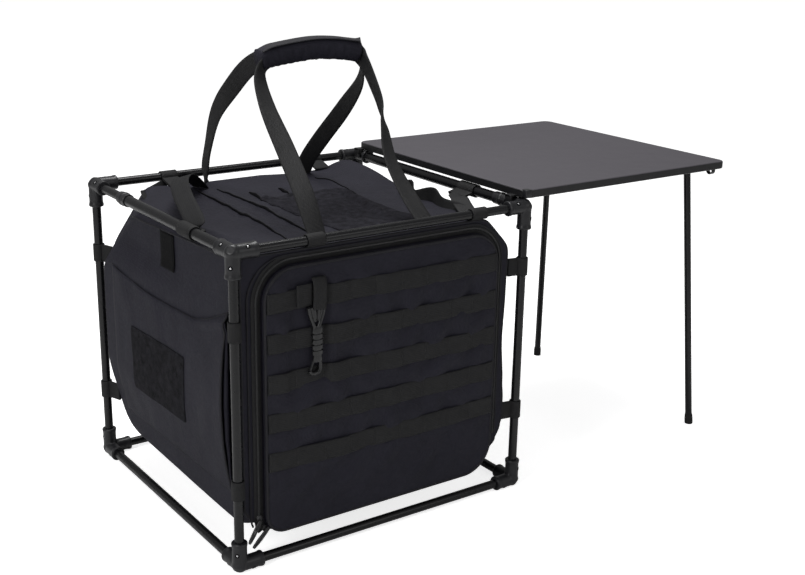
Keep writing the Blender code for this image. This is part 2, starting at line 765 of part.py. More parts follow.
def corner_straps():
    """Wide straps from the side rails to the lid; each has its loop round the rail."""
    lid_rest = BAG_TOP + FIT_GAP + CORNER_STRAP_THICKNESS / 2
    root = SLEEVE_RADIUS + FIT_GAP + LOOP_WALL / 2
    left_rail = Vector((0, LEFT_STRAP_FROM_FRONT, FRAME_HEIGHT))
    left_end = Vector((LEFT_STRAP_END_FROM_LEFT, FRAME_DEPTH - LEFT_STRAP_END_FROM_BACK, lid_rest))
    left_start = left_rail + Vector((root, 0, CORNER_STRAP_ROOT_RISE))
    left_route = strap_route(left_start, left_end, LEFT_STRAP_ARCH, 1.3)
    right_rail = Vector((FRAME_WIDTH, RIGHT_STRAP_FROM_FRONT, FRAME_HEIGHT))
    right_end = Vector((FRAME_WIDTH - RIGHT_STRAP_END_FROM_RIGHT, RIGHT_STRAP_END_FROM_FRONT, lid_rest))
    right_start = right_rail + Vector((-root, 0, CORNER_STRAP_ROOT_RISE))
    right_route = strap_route(right_start, right_end, RIGHT_STRAP_ARCH, 1.3)
    for side, rail, route in (("left", left_rail, left_route), ("right", right_rail, right_route)):
        path = smooth_path(route, 4)
        inward = 1 if side == "left" else -1
        along_rail = Vector((0, inward, 0))
        strap = ribbon_shape(
            f"corner_strap_{side}", path, CORNER_STRAP_WIDTH, CORNER_STRAP_THICKNESS, along_rail
        )
        reach = SLEEVE_RADIUS + FIT_GAP + LOOP_WALL + CORNER_STRAP_THICKNESS
        loop = webbing_loop(
            f"{side}_strap_loop",
            rail,
            (0, 1, 0),
            (inward, 0, 0),
            reach,
            CORNER_STRAP_WIDTH,
            SLEEVE_RADIUS,
        )
        combine(strap, as_mesh(loop), "UNION")
        finish_part(strap, WEBBING)


def handle_section(travel, slope_run, slope_rise, knee):
    """Offset back and up along a handle's side profile: a slope, then an upright band."""
    if travel <= knee:
        share = travel / knee
        return slope_run * share, slope_rise * share
    return slope_run, slope_rise + travel - knee


def carry_handle(name, left, base, meeting):
    """A webbing handle: two legs that lean to the meeting line, and an upright top band."""
    hinge_height = BAG_TOP + FIT_GAP + HANDLE_THICKNESS / 2
    rise = HANDLE_TOP - HANDLE_UPRIGHT_BAND - hinge_height
    run = meeting - base
    knee = math.hypot(run, rise)
    half_width = WEBBING_WIDTH / 2
    crown = knee + HANDLE_UPRIGHT_BAND - half_width
    radius = HANDLE_CORNER_RADIUS
    right = left + HANDLE_SPACING
    left_leg = [(left, crown * share / 8) for share in range(7)]
    left_turn = arc_points((left + radius, crown - radius), radius, 180, 90, 6)
    right_turn = arc_points((right - radius, crown - radius), radius, 90, 0, 6)
    right_leg = [(right, crown * share / 8) for share in range(6, -1, -1)]
    route = left_leg + left_turn + right_turn + right_leg

    def build(shape):
        rings = []
        for index, (across, travel) in enumerate(route):
            before = Vector(route[max(index - 1, 0)])
            after = Vector(route[min(index + 1, len(route) - 1)])
            heading = (after - before).normalized()
            ring = []
            for side in (-1, 1):
                x = across - heading.y * side * half_width
                along = travel + heading.x * side * half_width
                back, up = handle_section(along, run, rise, knee)
                lean = math.atan2(run, rise) if along <= knee else 0.0
                for lift in (side, -side):
                    push = lift * HANDLE_THICKNESS / 2
                    place = (x, push * math.cos(lean) + back, up - push * math.sin(lean))
                    ring.append(shape.verts.new(place))
            rings.append(ring)
        for ring, following in zip(rings, rings[1:]):
            for corner in range(4):
                after = (corner + 1) % 4
                shape.faces.new((ring[corner], ring[after], following[after], following[corner]))
        shape.faces.new(rings[0])
        shape.faces.new(rings[-1])
        bmesh.ops.recalc_face_normals(shape, faces=shape.faces)

    part = mesh_shape(name, build)
    part.location = (0, base, hinge_height)
    finish_part(part, WEBBING)


def carry_handles():
    """The two handles and the padded grip wrap that is sewn to the front one."""
    apart = HANDLE_MEETING_GAP / 2 + HANDLE_THICKNESS / 2
    front_meeting = HANDLE_MEETING_LINE - apart
    carry_handle("handle_front", FRONT_HANDLE_LEFT, FRONT_HANDLE_BASE, front_meeting)
    back_meeting = HANDLE_MEETING_LINE + apart
    carry_handle("handle_back", BACK_HANDLE_LEFT, BACK_HANDLE_BASE, back_meeting)
    back = HANDLE_MEETING_LINE - HANDLE_MEETING_GAP / 2 - HANDLE_THICKNESS - FIT_GAP
    middle = HANDLE_TOP - WEBBING_WIDTH / 2
    half = GRIP_HEIGHT / 2
    front = back - GRIP_THICKNESS
    bend = GRIP_THICKNESS * 0.8
    outline = rounded_rectangle(
        (front, middle - half), (back, middle + half), (bend, 0.0005, 0.0005, bend)
    )
    centre = (FRONT_HANDLE_LEFT + BACK_HANDLE_LEFT + HANDLE_SPACING) / 2
    grip = flat_shape("grip_wrap", [outline], GRIP_LENGTH)
    grip.rotation_euler = (math.radians(90), 0, math.radians(90))
    grip.location = (centre, 0, 0)
    finish_part(grip, CANVAS)


def zip_slider(level, across, height, turn, lean):
    """A zip slider on the border, and the moulded pull that swings on it."""
    front = BORDER_SETBACK - FIT_GAP
    half_width, half_length = SLIDER_WIDTH / 2, SLIDER_LENGTH / 2
    low = (-half_width, -SLIDER_THICKNESS, -half_length)
    slider = box_shape(f"zip_slider_{level}", low, (half_width, 0, half_length))
    slider.location = (across, front, height)
    slider.rotation_euler = (0, turn, 0)
    rounding = slider.modifiers.new("rounded", "BEVEL")
    rounding.width = SLIDER_THICKNESS / 4
    rounding.segments = 2
    finish_part(slider, ZIP_METAL)

    radius = PULL_DIAMETER / 2
    profile = (
        (0, 0),
        (radius * 0.8, -radius * 0.4),
        (radius * 0.8, -PULL_LENGTH * 0.45),
        (radius, -PULL_LENGTH * 0.55),
        (radius, -PULL_LENGTH + radius),
        (0, -PULL_LENGTH),
    )
    pull = turned_shape(f"zip_pull_{level}", profile, steps=10)
    depth = front - SLIDER_THICKNESS - FIT_GAP - radius
    pull.location = (across, depth, height)
    pull.rotation_euler = (0, lean, 0)
    finish_part(pull, CLIP_PLASTIC)


def zip_sliders():
    """Two sliders parked together at the lower left of the door."""
    zip_slider("upper", ZIP_LINE, UPPER_SLIDER_HEIGHT, 0.0, UPPER_PULL_LEAN)
    lower = ZIP_LINE + LOWER_SLIDER_SHIFT
    turn = math.atan2(-LOWER_SLIDER_SHIFT, UPPER_SLIDER_HEIGHT - LOWER_SLIDER_HEIGHT)
    zip_slider("lower", lower, LOWER_SLIDER_HEIGHT, turn, LOWER_PULL_LEAN)


def key_clip():
    """A flat snap clip that hangs on the top webbing row; its origin is its hinge line."""
    half = CLIP_WIDTH / 2
    neck = half * 0.45
    body = half * 0.9
    shoulder = -CLIP_LENGTH * 0.16
    waist = -CLIP_LENGTH * 0.30
    hip = -CLIP_LENGTH * 0.44
    outline = [(-half, 0), (-half, shoulder), (-neck, waist), (-body, hip)]
    outline += arc_points((0, body - CLIP_LENGTH), body, 180, 360, 8)
    outline += [(body, hip), (neck, waist), (half, shoulder), (half, 0)]
    slot = CLIP_HOLE_WIDTH / 2
    hole = rounded_rectangle(
        (-slot, -CLIP_LENGTH + slot), (slot, -CLIP_LENGTH + slot + CLIP_HOLE_LENGTH), (slot * 0.9,) * 4, 3
    )
    clip = flat_shape("key_clip", [outline, hole], CLIP_THICKNESS)
    face_forward(clip, DOOR_FRONT - ROW_HEIGHT_PROUD - FIT_GAP - CLIP_THICKNESS / 2)
    clip.location.x = CLIP_FROM_LEFT
    clip.location.z = CLIP_TOP
    finish_part(clip, CLIP_PLASTIC)


def table_outline(margin):
    """The tabletop's outline in XY, drawn inwards by a margin."""
    low = (TABLE_LEFT + margin, TABLE_FRONT + margin)
    high = (TABLE_LEFT + TABLE_LENGTH - margin, TABLE_FRONT + TABLE_DEPTH - margin)
    return rounded_rectangle(low, high, (TABLE_CORNER_RADIUS - margin,) * 4)


def table_hook(name, centre):
    """An upside-down U that drops over a corner socket, drawn in XZ."""
    inner = SOCKET_RADIUS + 2 * FIT_GAP
    outer = inner + HOOK_WALL
    under = TABLE_UNDERSIDE
    bottom = under - HOOK_DEPTH
    outline = [
        (FRAME_WIDTH - outer, bottom),
        (FRAME_WIDTH - inner, bottom),
        (FRAME_WIDTH - inner, under),
        (FRAME_WIDTH + inner, under),
        (FRAME_WIDTH + inner, bottom),
        (FRAME_WIDTH + outer, bottom),
        (FRAME_WIDTH + outer, under + HOOK_WEB),
        (FRAME_WIDTH - outer, under + HOOK_WEB),
    ]
    return as_mesh(face_forward(flat_shape(name, [outline], HOOK_WIDTH), centre))


def table_top():
    """The board and the rim under its edge, with the two hooks moulded on."""
    board = flat_shape("tabletop_panel", [table_outline(0.0)], PANEL_THICKNESS)
    board.location = (0, 0, PANEL_UNDERSIDE + PANEL_THICKNESS / 2)
    finish_part(board, TABLE_BOARD)
    depth = PANEL_UNDERSIDE - FIT_GAP - TABLE_UNDERSIDE
    rim = flat_shape("tabletop_rim", [table_outline(0.0), table_outline(RIM_WALL)], depth)
    rim.location = (0, 0, TABLE_UNDERSIDE + depth / 2)
    rim = as_mesh(rim)
    for end, centre in (
        ("front", HOOK_CENTRE_FROM_CORNER),
        ("back", FRAME_DEPTH - HOOK_CENTRE_FROM_CORNER),
    ):
        combine(rim, table_hook(f"table_hook_{end}", centre), "UNION")
    finish_part(rim, TABLE_EDGE)


def table_leg(end, depth, side):
    """A splayed screw-in leg with its socket under the board and its rubber foot."""
    across = TABLE_LEFT + TABLE_LENGTH - LEG_INSET_FROM_END
    head = Vector((across, depth, PANEL_UNDERSIDE - LEG_SOCKET_HEIGHT))
    drop = PANEL_UNDERSIDE - FLOOR
    down = Vector((LEG_SPLAY_OUT, side * LEG_SPLAY_SIDE, -drop)).normalized()
    top_cut = PANEL_UNDERSIDE - FIT_GAP

    socket_top = head - down * (LEG_SOCKET_HEIGHT * 1.3)
    socket = rod_shape(f"leg_socket_{end}", head, socket_top, LEG_SOCKET_DIAMETER / 2)
    reach = LEG_SOCKET_DIAMETER
    low = (across - reach, depth - reach, top_cut)
    high = (across + reach, depth + reach, top_cut + reach)
    combine(socket, box_shape(f"{end}_socket_top", low, high), "DIFFERENCE")
    bore_end = head - down * (LEG_STUD_LENGTH + FIT_GAP)
    bore_start = head + down * LEG_SOCKET_HEIGHT
    bore = rod_shape(f"{end}_socket_bore", bore_start, bore_end, LEG_STUD_DIAMETER / 2 + FIT_GAP, 12)
    combine(socket, bore, "DIFFERENCE")
    finish_part(socket, CORNER_PLASTIC)

    radius = LEG_DIAMETER / 2
    inner = radius - LEG_WALL
    slant = drop / -down.z
    run = (PANEL_UNDERSIDE - LEG_SOCKET_HEIGHT - FLOOR) / drop * slant
    length = run - FOOT_CAP_FLOOR - 2 * FIT_GAP
    profile = (
        (0, -LEG_STUD_LENGTH),
        (LEG_STUD_DIAMETER / 2, -LEG_STUD_LENGTH),
        (LEG_STUD_DIAMETER / 2, 0),
        (radius, 0),
        (radius, length),
        (inner, length),
        (inner, LEG_WALL * 3),
        (0, LEG_WALL * 3),
    )
    leg = turned_shape(f"leg_{end}", [(r, -z) for r, z in profile], steps=16)
    point_along(leg, head + down * FIT_GAP, -down)
    finish_part(leg, TUBE_METAL)

    outer = FOOT_CAP_DIAMETER / 2
    fitted = radius + FIT_GAP
    cap_floor = FOOT_CAP_FLOOR
    cap = (
        (fitted, FOOT_CAP_HEIGHT),
        (outer * 0.92, FOOT_CAP_HEIGHT),
        (outer, FOOT_CAP_HEIGHT * 0.6),
        (outer, -FOOT_CAP_FLOOR),
        (0, -FOOT_CAP_FLOOR),
        (0, cap_floor),
        (fitted, cap_floor),
    )
    foot = turned_shape(f"leg_foot_{end}", foot_profile(cap), steps=16)
    sole = head + down * run
    point_along(foot, sole, -down)
    low = (sole.x - reach, sole.y - reach, FLOOR - reach)
    high = (sole.x + reach, sole.y + reach, FLOOR)
    combine(foot, box_shape(f"{end}_foot_cut", low, high), "DIFFERENCE")
    finish_part(foot, FOOT_RUBBER)


def foot_profile(cap):
    """The cap's profile, opened at the axis so that it runs down the outer side."""
    inside_floor = cap[-2]
    return (inside_floor, cap[-1]) + cap[:-2]


def table_legs():
    """The two legs under the far end of the table."""
    front = TABLE_FRONT + LEG_INSET_FROM_SIDE
    back = TABLE_FRONT + TABLE_DEPTH - LEG_INSET_FROM_SIDE
    table_leg("front", front, -1)
    table_leg("back", back, 1)


def centre_on_base():
    """Move the root so that the origin is the middle of the whole object's base."""
    bpy.context.view_layer.update()
    depsgraph = bpy.context.evaluated_depsgraph_get()
    corners = []
    for part in PARTS.objects:
        if part.type == "EMPTY":
            continue
        solid = part.evaluated_get(depsgraph)
        mesh = solid.to_mesh()
        corners += [part.matrix_world @ vertex.co for vertex in mesh.vertices]
        solid.to_mesh_clear()
    low = [min(corner[axis] for corner in corners) for axis in range(3)]
    high = [max(corner[axis] for corner in corners) for axis in range(3)]
    ROOT.location = (-(low[0] + high[0]) / 2, -(low[1] + high[1]) / 2, -low[2])
    bpy.context.view_layer.update()


def build():
    """Make every piece."""
    corner_fittings()
    frame_tubes()
    telescopic_rail("left", 0.0, 0.0, FRAME_DEPTH, FRAME_DEPTH - COLLAR_CENTRE)
    telescopic_rail("right", FRAME_WIDTH, FRAME_DEPTH, 0.0, RIGHT_COLLAR_CENTRE)
    bag_wrap()
    bag_ends()
    bag_lid()
    side_pocket()
    post_loops()
    rail_loops()
    corner_straps()
    front_door()
    zip_sliders()
    key_clip()
    carry_handles()
    table_top()
    table_legs()
    centre_on_base()


build()
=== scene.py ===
"""Looks of the camp storage box: soft bag, tube frame, straps and side table.

Places are given in frame coordinates: metres to the right, back and up from the point where
the tube centre lines cross at the bottom front left corner. place() turns them into the
world's coordinates.
"""

import math

import bmesh
import bpy
from mathutils import Matrix, Vector, noise


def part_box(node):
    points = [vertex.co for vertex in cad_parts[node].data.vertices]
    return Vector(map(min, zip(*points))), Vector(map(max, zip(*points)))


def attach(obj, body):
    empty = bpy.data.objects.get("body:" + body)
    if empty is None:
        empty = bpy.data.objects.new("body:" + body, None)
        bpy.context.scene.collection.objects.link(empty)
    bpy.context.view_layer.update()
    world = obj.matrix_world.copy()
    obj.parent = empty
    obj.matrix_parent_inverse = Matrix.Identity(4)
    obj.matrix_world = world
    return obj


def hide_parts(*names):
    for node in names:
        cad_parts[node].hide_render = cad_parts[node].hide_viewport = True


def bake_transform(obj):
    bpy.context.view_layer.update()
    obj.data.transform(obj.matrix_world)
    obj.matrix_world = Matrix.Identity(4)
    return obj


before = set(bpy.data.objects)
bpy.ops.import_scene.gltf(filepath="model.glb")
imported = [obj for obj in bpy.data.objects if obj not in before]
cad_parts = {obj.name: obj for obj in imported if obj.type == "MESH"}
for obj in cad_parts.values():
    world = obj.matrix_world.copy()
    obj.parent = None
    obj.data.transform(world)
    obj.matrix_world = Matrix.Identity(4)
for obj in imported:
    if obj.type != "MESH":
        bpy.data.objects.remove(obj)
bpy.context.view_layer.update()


def box_middle(node):
    """Middle of a CAD node's box."""
    low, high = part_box(node)
    return (low + high) / 2


# Sizes read from the CAD frame
POST = box_middle("post_front_left")
ORIGIN = Vector((POST.x, POST.y, box_middle("rail_bottom_front").z))
WIDTH = box_middle("post_front_right").x - ORIGIN.x
DEPTH = box_middle("post_back_left").y - ORIGIN.y
HEIGHT = box_middle("rail_top_front").z - ORIGIN.z


def node_box(node):
    """A CAD node's lowest and highest corners in frame coordinates."""
    low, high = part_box(node)
    return low - ORIGIN, high - ORIGIN


def tube_radius(node):
    """Radius of an upright tube, or of one that runs from front to back."""
    low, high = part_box(node)
    return (high.x - low.x) / 2


BAG_LOW, BAG_HIGH = node_box("bag_wrap")
BAG_LEFT, BAG_RIGHT = BAG_LOW.x, BAG_HIGH.x
BAG_BOTTOM, BAG_TOP = BAG_LOW.z, BAG_HIGH.z
BAG_FRONT = node_box("bag_front_border")[0].y
BAG_BACK = node_box("bag_back")[1].y
BAG_MIDDLE = Vector(((BAG_LEFT + BAG_RIGHT) / 2, (BAG_FRONT + BAG_BACK) / 2, (BAG_BOTTOM + BAG_TOP) / 2))
DOOR_LOW, DOOR_HIGH = node_box("front_door")
POCKET_LOW, POCKET_HIGH = node_box("side_pocket")
CLIP_LOW, CLIP_HIGH = node_box("key_clip")
CLIP_MIDDLE = (CLIP_LOW + CLIP_HIGH) / 2
TABLE_LOW, TABLE_HIGH = node_box("tabletop_panel")
FLOOR = -ORIGIN.z
TUBE_RADIUS = tube_radius("post_front_left")
SLEEVE_RADIUS = tube_radius("rail_top_left")

# Camera of the photograph, in frame coordinates
CAMERA_PLACE = (-0.62407, -1.20970, 0.78509)
CAMERA_YAW = math.radians(35.4896)
CAMERA_PITCH = math.radians(17.4189)
CAMERA_ROLL = math.radians(1.1216)
CAMERA_LENS = 55.05
SENSOR_WIDTH = 36.0

# Soft goods
WEBBING_WIDTH = 0.025
WEBBING_THICKNESS = 0.0017
CURVE_STEPS = 24
CORNER_STEPS = 12
SIDE_STEPS = 140
SKIN_THICKNESS = 0.0028
ROW_PITCH = 0.0508
ROW_COUNT = 5
TOP_ROW_DROP = 0.041
TACK_PITCH = 0.038
TACK_THREADS = 14
ROW_LIFT = 0.0009
ROW_STEPS = 200
DOOR_RINGS = 28
HANDLE_THICKNESS = 0.0024

# Edges of hard pieces stay crisp past these angles in degrees
CRISP = 35
CRISP_TABLE = 50


def place(x, y, z):
    """World place of a point in frame coordinates."""
    return ORIGIN + Vector((x, y, z))


def blend_step(low, high, value):
    """A smooth rise from 0 at low to 1 at high."""
    share = min(1.0, max(0.0, (value - low) / (high - low)))
    return share * share * (3 - 2 * share)


def mix(first, second, share):
    """A value part of the way between two others."""
    return first + (second - first) * share


def ripple(x, y, z, size, seed=0.0):
    """Smooth noise between -1 and 1 with features of the given size."""
    return noise.noise(Vector((x / size + seed, y / size, z / size - seed)))


# Materials


def shader_of(material):
    """The Principled shader of a material."""
    return material.node_tree.nodes["Principled BSDF"]


def new_material(name, roughness, metallic=0.0, shine=0.5):
    """An empty shader with its fixed roughness, metallic and specular values."""
    material = bpy.data.materials.new(name)
    material.use_nodes = True
    shader = shader_of(material)
    shader.inputs["Roughness"].default_value = roughness
    shader.inputs["Metallic"].default_value = metallic
    shader.inputs["Specular IOR Level"].default_value = shine
    return material


def noise_node(material, size, detail=4.0, roughness=0.55):
    """Noise in the object's own coordinates, with features about a size in metres."""
    tree = material.node_tree
    where = tree.nodes.new("ShaderNodeTexCoord")
    pattern = tree.nodes.new("ShaderNodeTexNoise")
    pattern.inputs["Scale"].default_value = 1.0 / size
    pattern.inputs["Detail"].default_value = detail
    pattern.inputs["Roughness"].default_value = roughness
    tree.links.new(where.outputs["Object"], pattern.inputs["Vector"])
    return pattern.outputs[0]


def wave_node(material, direction, length, by_uv=False, distortion=0.0):
    """Bands a given length apart, in object coordinates or along a strap's UV map."""
    tree = material.node_tree
    where = tree.nodes.new("ShaderNodeTexCoord")
    bands = tree.nodes.new("ShaderNodeTexWave")
    bands.bands_direction = direction
    bands.inputs["Scale"].default_value = math.pi / 10 / length
    bands.inputs["Distortion"].default_value = distortion
    source = where.outputs["UV"] if by_uv else where.outputs["Object"]
    tree.links.new(source, bands.inputs["Vector"])
    return bands.outputs["Fac"]


def math_node(material, operation, first, second):
    """Combine two sockets, or a socket and a number."""
    tree = material.node_tree
    node = tree.nodes.new("ShaderNodeMath")
    node.operation = operation
    for index, value in enumerate((first, second)):
        if isinstance(value, float):
            node.inputs[index].default_value = value
        else:
            tree.links.new(value, node.inputs[index])
    return node.outputs[0]


def two_tone(material, factor, dark, light, spread=0.3):
    """Let the colour drift between two tones with a pattern."""
    tree = material.node_tree
    ramp = tree.nodes.new("ShaderNodeValToRGB")
    ramp.color_ramp.elements[0].position = 0.5 - spread
    ramp.color_ramp.elements[0].color = (*dark, 1.0)
    ramp.color_ramp.elements[1].position = 0.5 + spread
    ramp.color_ramp.elements[1].color = (*light, 1.0)
    tree.links.new(factor, ramp.inputs["Fac"])
    tree.links.new(ramp.outputs["Color"], shader_of(material).inputs["Base Color"])


def varied_roughness(material, factor, low, high):
    """Let the roughness drift between two values with a pattern."""
    tree = material.node_tree
    span = tree.nodes.new("ShaderNodeMapRange")
    span.inputs["To Min"].default_value = low
    span.inputs["To Max"].default_value = high
    tree.links.new(factor, span.inputs["Value"])
    tree.links.new(span.outputs["Result"], shader_of(material).inputs["Roughness"])


def add_bump(material, height, distance, strength=1.0):
    """Raise the surface with a pattern, on top of any bump that is there already."""
    tree = material.node_tree
    bump = tree.nodes.new("ShaderNodeBump")
    bump.inputs["Distance"].default_value = distance
    bump.inputs["Strength"].default_value = strength
    normal = shader_of(material).inputs["Normal"]
    if normal.is_linked:
        tree.links.new(normal.links[0].from_socket, bump.inputs["Normal"])
    tree.links.new(height, bump.inputs["Height"])
    tree.links.new(bump.outputs["Normal"], normal)


def canvas_material(name, dark, light):
    """Coated woven nylon: a plain weave, slow tone drift and a dull surface."""
    material = new_material(name, 0.8, shine=0.25)
    two_tone(material, noise_node(material, 0.05, 5.0), dark, light)
    weave = wave_node(material, "X", 0.0011)
    for direction in ("Y", "Z"):
        weave = math_node(material, "ADD", weave, wave_node(material, direction, 0.0011))
    add_bump(material, weave, 0.00016, 0.6)
    add_bump(material, noise_node(material, 0.012, 3.0), 0.0011, 0.45)
    varied_roughness(material, noise_node(material, 0.004), 0.62, 0.85)
    return material


def webbing_material(name, dark, light, shine=0.28):
    """Ribbed nylon webbing: fine cross ribs and a herringbone edge, drawn along its UV map."""
    material = new_material(name, 0.72, shine=shine)
    ribs = wave_node(material, "Y", 0.0016, by_uv=True, distortion=0.6)
    rows = wave_node(material, "X", 0.0024, by_uv=True, distortion=0.4)
    drift = math_node(material, "MULTIPLY", ribs, 0.15)
    two_tone(material, math_node(material, "ADD", noise_node(material, 0.02), drift), dark, light)
    relief = math_node(material, "ADD", ribs, math_node(material, "MULTIPLY", rows, 0.5))
    add_bump(material, relief, 0.0003, 0.7)
    varied_roughness(material, noise_node(material, 0.003), 0.6, 0.82)
    return material


def loop_pile_material(name, dark, light):
    """Fuzzy hook-and-loop pile."""
    material = new_material(name, 0.95, shine=0.12)
    tufts = noise_node(material, 0.0022, 8.0, 0.75)
    worn = math_node(material, "ADD", tufts, noise_node(material, 0.009, 3.0))
    two_tone(material, math_node(material, "MULTIPLY", worn, 0.5), dark, light, 0.13)
    add_bump(material, tufts, 0.0016, 0.9)
    return material


def metal_material(name, dark, light, roughness, metallic=0.0):
    """Anodised tube or bright steel: satin surface with faint streaks and small scuffs."""
    material = new_material(name, roughness, metallic, 0.34)
    two_tone(material, noise_node(material, 0.03, 6.0), dark, light)
    varied_roughness(material, noise_node(material, 0.02, 4.0, 0.5), roughness - 0.04, roughness + 0.06)
    add_bump(material, noise_node(material, 0.006, 2.0), 0.00002, 0.05)
    return material


def moulded_material(name, dark, light, roughness, grain=0.0011, shine=0.4):
    """Moulded plastic or rubber with a fine spark-eroded grain."""
    material = new_material(name, roughness, shine=shine)
    two_tone(material, noise_node(material, 0.015), dark, light)
    varied_roughness(material, noise_node(material, 0.005), roughness - 0.07, roughness + 0.08)
    add_bump(material, noise_node(material, grain, 3.0), 0.00008, 0.4)
    return material


def board_material(name, dark, light):
    """Matt laminate of the tabletop, with a faint mottle and fine texture."""
    material = new_material(name, 0.5)
    mottle = math_node(material, "ADD", noise_node(material, 0.18, 3.0), noise_node(material, 0.0025, 4.0))
    two_tone(material, math_node(material, "MULTIPLY", mottle, 0.5), dark, light)
    varied_roughness(material, noise_node(material, 0.03, 6.0), 0.42, 0.58)
    add_bump(material, noise_node(material, 0.0009, 2.0), 0.00008, 0.7)
    return material


def zip_coil_material():
    """Fine cross teeth of a coil zip, with painted highlight on the teeth and painted shade between them.
    """
    material = new_material("zip_coil_teeth", 0.45)
    teeth = wave_node(material, "Y", 0.0015, by_uv=True)
    # Painted highlight on the teeth and painted shade between them, in step with the bump.
    two_tone(material, teeth, (0.006, 0.006, 0.006), (0.035, 0.035, 0.036))
    add_bump(material, teeth, 0.0006, 1.0)
    return material


CANVAS = canvas_material("canvas", (0.0080, 0.0075, 0.0136), (0.0134, 0.0127, 0.0212))
CANVAS_FOLD = canvas_material("canvas_binding", (0.0110, 0.0108, 0.0135), (0.0180, 0.0176, 0.0215))
WEBBING = webbing_material("webbing", (0.0072, 0.0072, 0.0078), (0.0126, 0.0125, 0.0132))
# A darker copy of the webbing: painted shade for the straps that lie in shadow.
WEBBING_SHADED = webbing_material("painted_shade_webbing", (0.0056, 0.0056, 0.0062), (0.0096, 0.0096, 0.0104), 0.2)
TAG = webbing_material("woven_tag", (0.0020, 0.0020, 0.0023), (0.0038, 0.0038, 0.0042), 0.08)
LOOP_PILE = loop_pile_material("loop_pile", (0.0025, 0.0025, 0.0031), (0.0185, 0.0180, 0.0225))
LID_PILE = loop_pile_material("lid_loop_pile", (0.0045, 0.0043, 0.0060), (0.0250, 0.0240, 0.0310))
TUBE_METAL = metal_material("anodised_tube", (0.0036, 0.0036, 0.0042), (0.0064, 0.0064, 0.0074), 0.26)
SCREW_METAL = metal_material("screw_steel", (0.55, 0.55, 0.56), (0.7, 0.7, 0.71), 0.25, 1.0)
NYLON = moulded_material("moulded_nylon", (0.0085, 0.0085, 0.0098), (0.0145, 0.0145, 0.0168), 0.36)
CLIP_PLASTIC = moulded_material(
    "clip_plastic", (0.0052, 0.0052, 0.0058), (0.0094, 0.0094, 0.0104), 0.32, shine=0.5
)
BOARD = board_material("table_laminate", (0.055, 0.050, 0.060), (0.069, 0.064, 0.074))
BOARD_EDGE = moulded_material("table_edge", (0.006, 0.006, 0.007), (0.010, 0.010, 0.011), 0.4)
ZIP_METAL = metal_material("zip_metal", (0.02, 0.02, 0.021), (0.04, 0.04, 0.041), 0.35)
ZIP_COIL = zip_coil_material()
RUBBER = moulded_material("rubber", (0.005, 0.005, 0.005), (0.009, 0.009, 0.009), 0.75, 0.002)
STITCH = moulded_material("stitching", (0.013, 0.013, 0.014), (0.022, 0.022, 0.023), 0.7)
# Near-black painted shade, laid as sheets in the lid's slits and as rings round the screw heads.
GAP_SHADE = moulded_material(
    "painted_shade_gap", (0.0026, 0.0026, 0.0032), (0.0044, 0.0044, 0.0052), 0.95, shine=0.05
)


# Building blocks


def make_object(name, shape, material):
    """Turn a bmesh into a smooth-shaded object in the scene."""
    mesh = bpy.data.meshes.new(name)
    bmesh.ops.recalc_face_normals(shape, faces=shape.faces)
    shape.to_mesh(mesh)
    shape.free()
    for polygon in mesh.polygons:
        polygon.use_smooth = True
    mesh.materials.append(material)
    piece = bpy.data.objects.new(name, mesh)
    bpy.context.scene.collection.objects.link(piece)
    return piece


def set_slot(nodes=()):
    """Hide the nodes that a piece stands for."""
    if nodes:
        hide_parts(*nodes)


def set_up(piece, body="framed_bag", nodes=()):
    """Say what body a piece rides on and which nodes it stands for."""
    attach(piece, body)
    set_slot(nodes)


def add_piece(name, shape, material, body="framed_bag", nodes=(), crisp=None):
    """Make and set up a piece. Where crisp is given, edges stay sharp past that angle in degrees."""
    piece = make_object(name, shape, material)
    if crisp:
        piece.data.set_sharp_from_angle(angle=math.radians(crisp))
    set_up(piece, body, nodes)


def smooth_points(points, count):
    """Evenly spaced rows on a smooth curve through rows of numbers; the first three are places."""
    dense = []
    rows = [Vector(row) for row in points]
    for index in range(len(rows) - 1):
        before = rows[max(index - 1, 0)]
        start, end = rows[index], rows[index + 1]
        after = rows[min(index + 2, len(rows) - 1)]
        for step in range(CURVE_STEPS):
            t = step / CURVE_STEPS
            row = start * (2 * t**3 - 3 * t**2 + 1) + end * (3 * t**2 - 2 * t**3)
            row += (end - before) * (0.5 * (t**3 - 2 * t**2 + t))
            row += (after - start) * (0.5 * (t**3 - t**2))
            dense.append(row)
    dense.append(rows[-1])
    travelled = [0.0]
    for first, second in zip(dense, dense[1:]):
        travelled.append(travelled[-1] + (Vector(second[:3]) - Vector(first[:3])).length)
    result = []
    index = 0
    for step in range(count + 1):
        goal = travelled[-1] * step / count
        while index < len(dense) - 2 and travelled[index + 1] < goal:
            index += 1
        stretch = travelled[index + 1] - travelled[index]
        share = (goal - travelled[index]) / stretch if stretch > 0 else 0.0
        result.append(dense[index] + (dense[index + 1] - dense[index]) * share)
    return result


def strap_section(width, thickness, columns=6):
    """Section of a strap: flat faces with softly rounded edges."""
    half, depth = width / 2, thickness / 2
    soft = thickness * 0.4
    lower = [(mix(-half + soft, half - soft, step / columns), -depth) for step in range(columns + 1)]
    upper = [(-across, -lift) for across, lift in lower]
    return lower + [(half, -depth + soft), (half, depth - soft)] + upper + [
        (-half, depth - soft),
        (-half, -depth + soft),
    ]


def angles(count):
    """Evenly spaced angles round a full turn."""
    return [2 * math.pi * step / count for step in range(count)]


def heading(path, index, closed=False):
    """Which way a path runs at one of its places."""
    before = path[index - 1] if index or closed else path[0]
    after = path[(index + 1) % len(path)] if index < len(path) - 1 or closed else path[-1]
    return (after - before).normalized()


def travelled(path, closed=False, start=0.0):
    """Length travelled at each place of a path, and back at its first place if it is closed."""
    lengths = [start]
    following = path[1:] + (path[:1] if closed else [])
    for here, there in zip(path, following):
        lengths.append(lengths[-1] + (there - here).length)
    return lengths


def join_rows(shape, first, second):
    """Join two rings of vertices with a band of faces."""
    for index in range(len(first)):
        after = (index + 1) % len(first)
        shape.faces.new((first[index], first[after], second[after], second[index]))


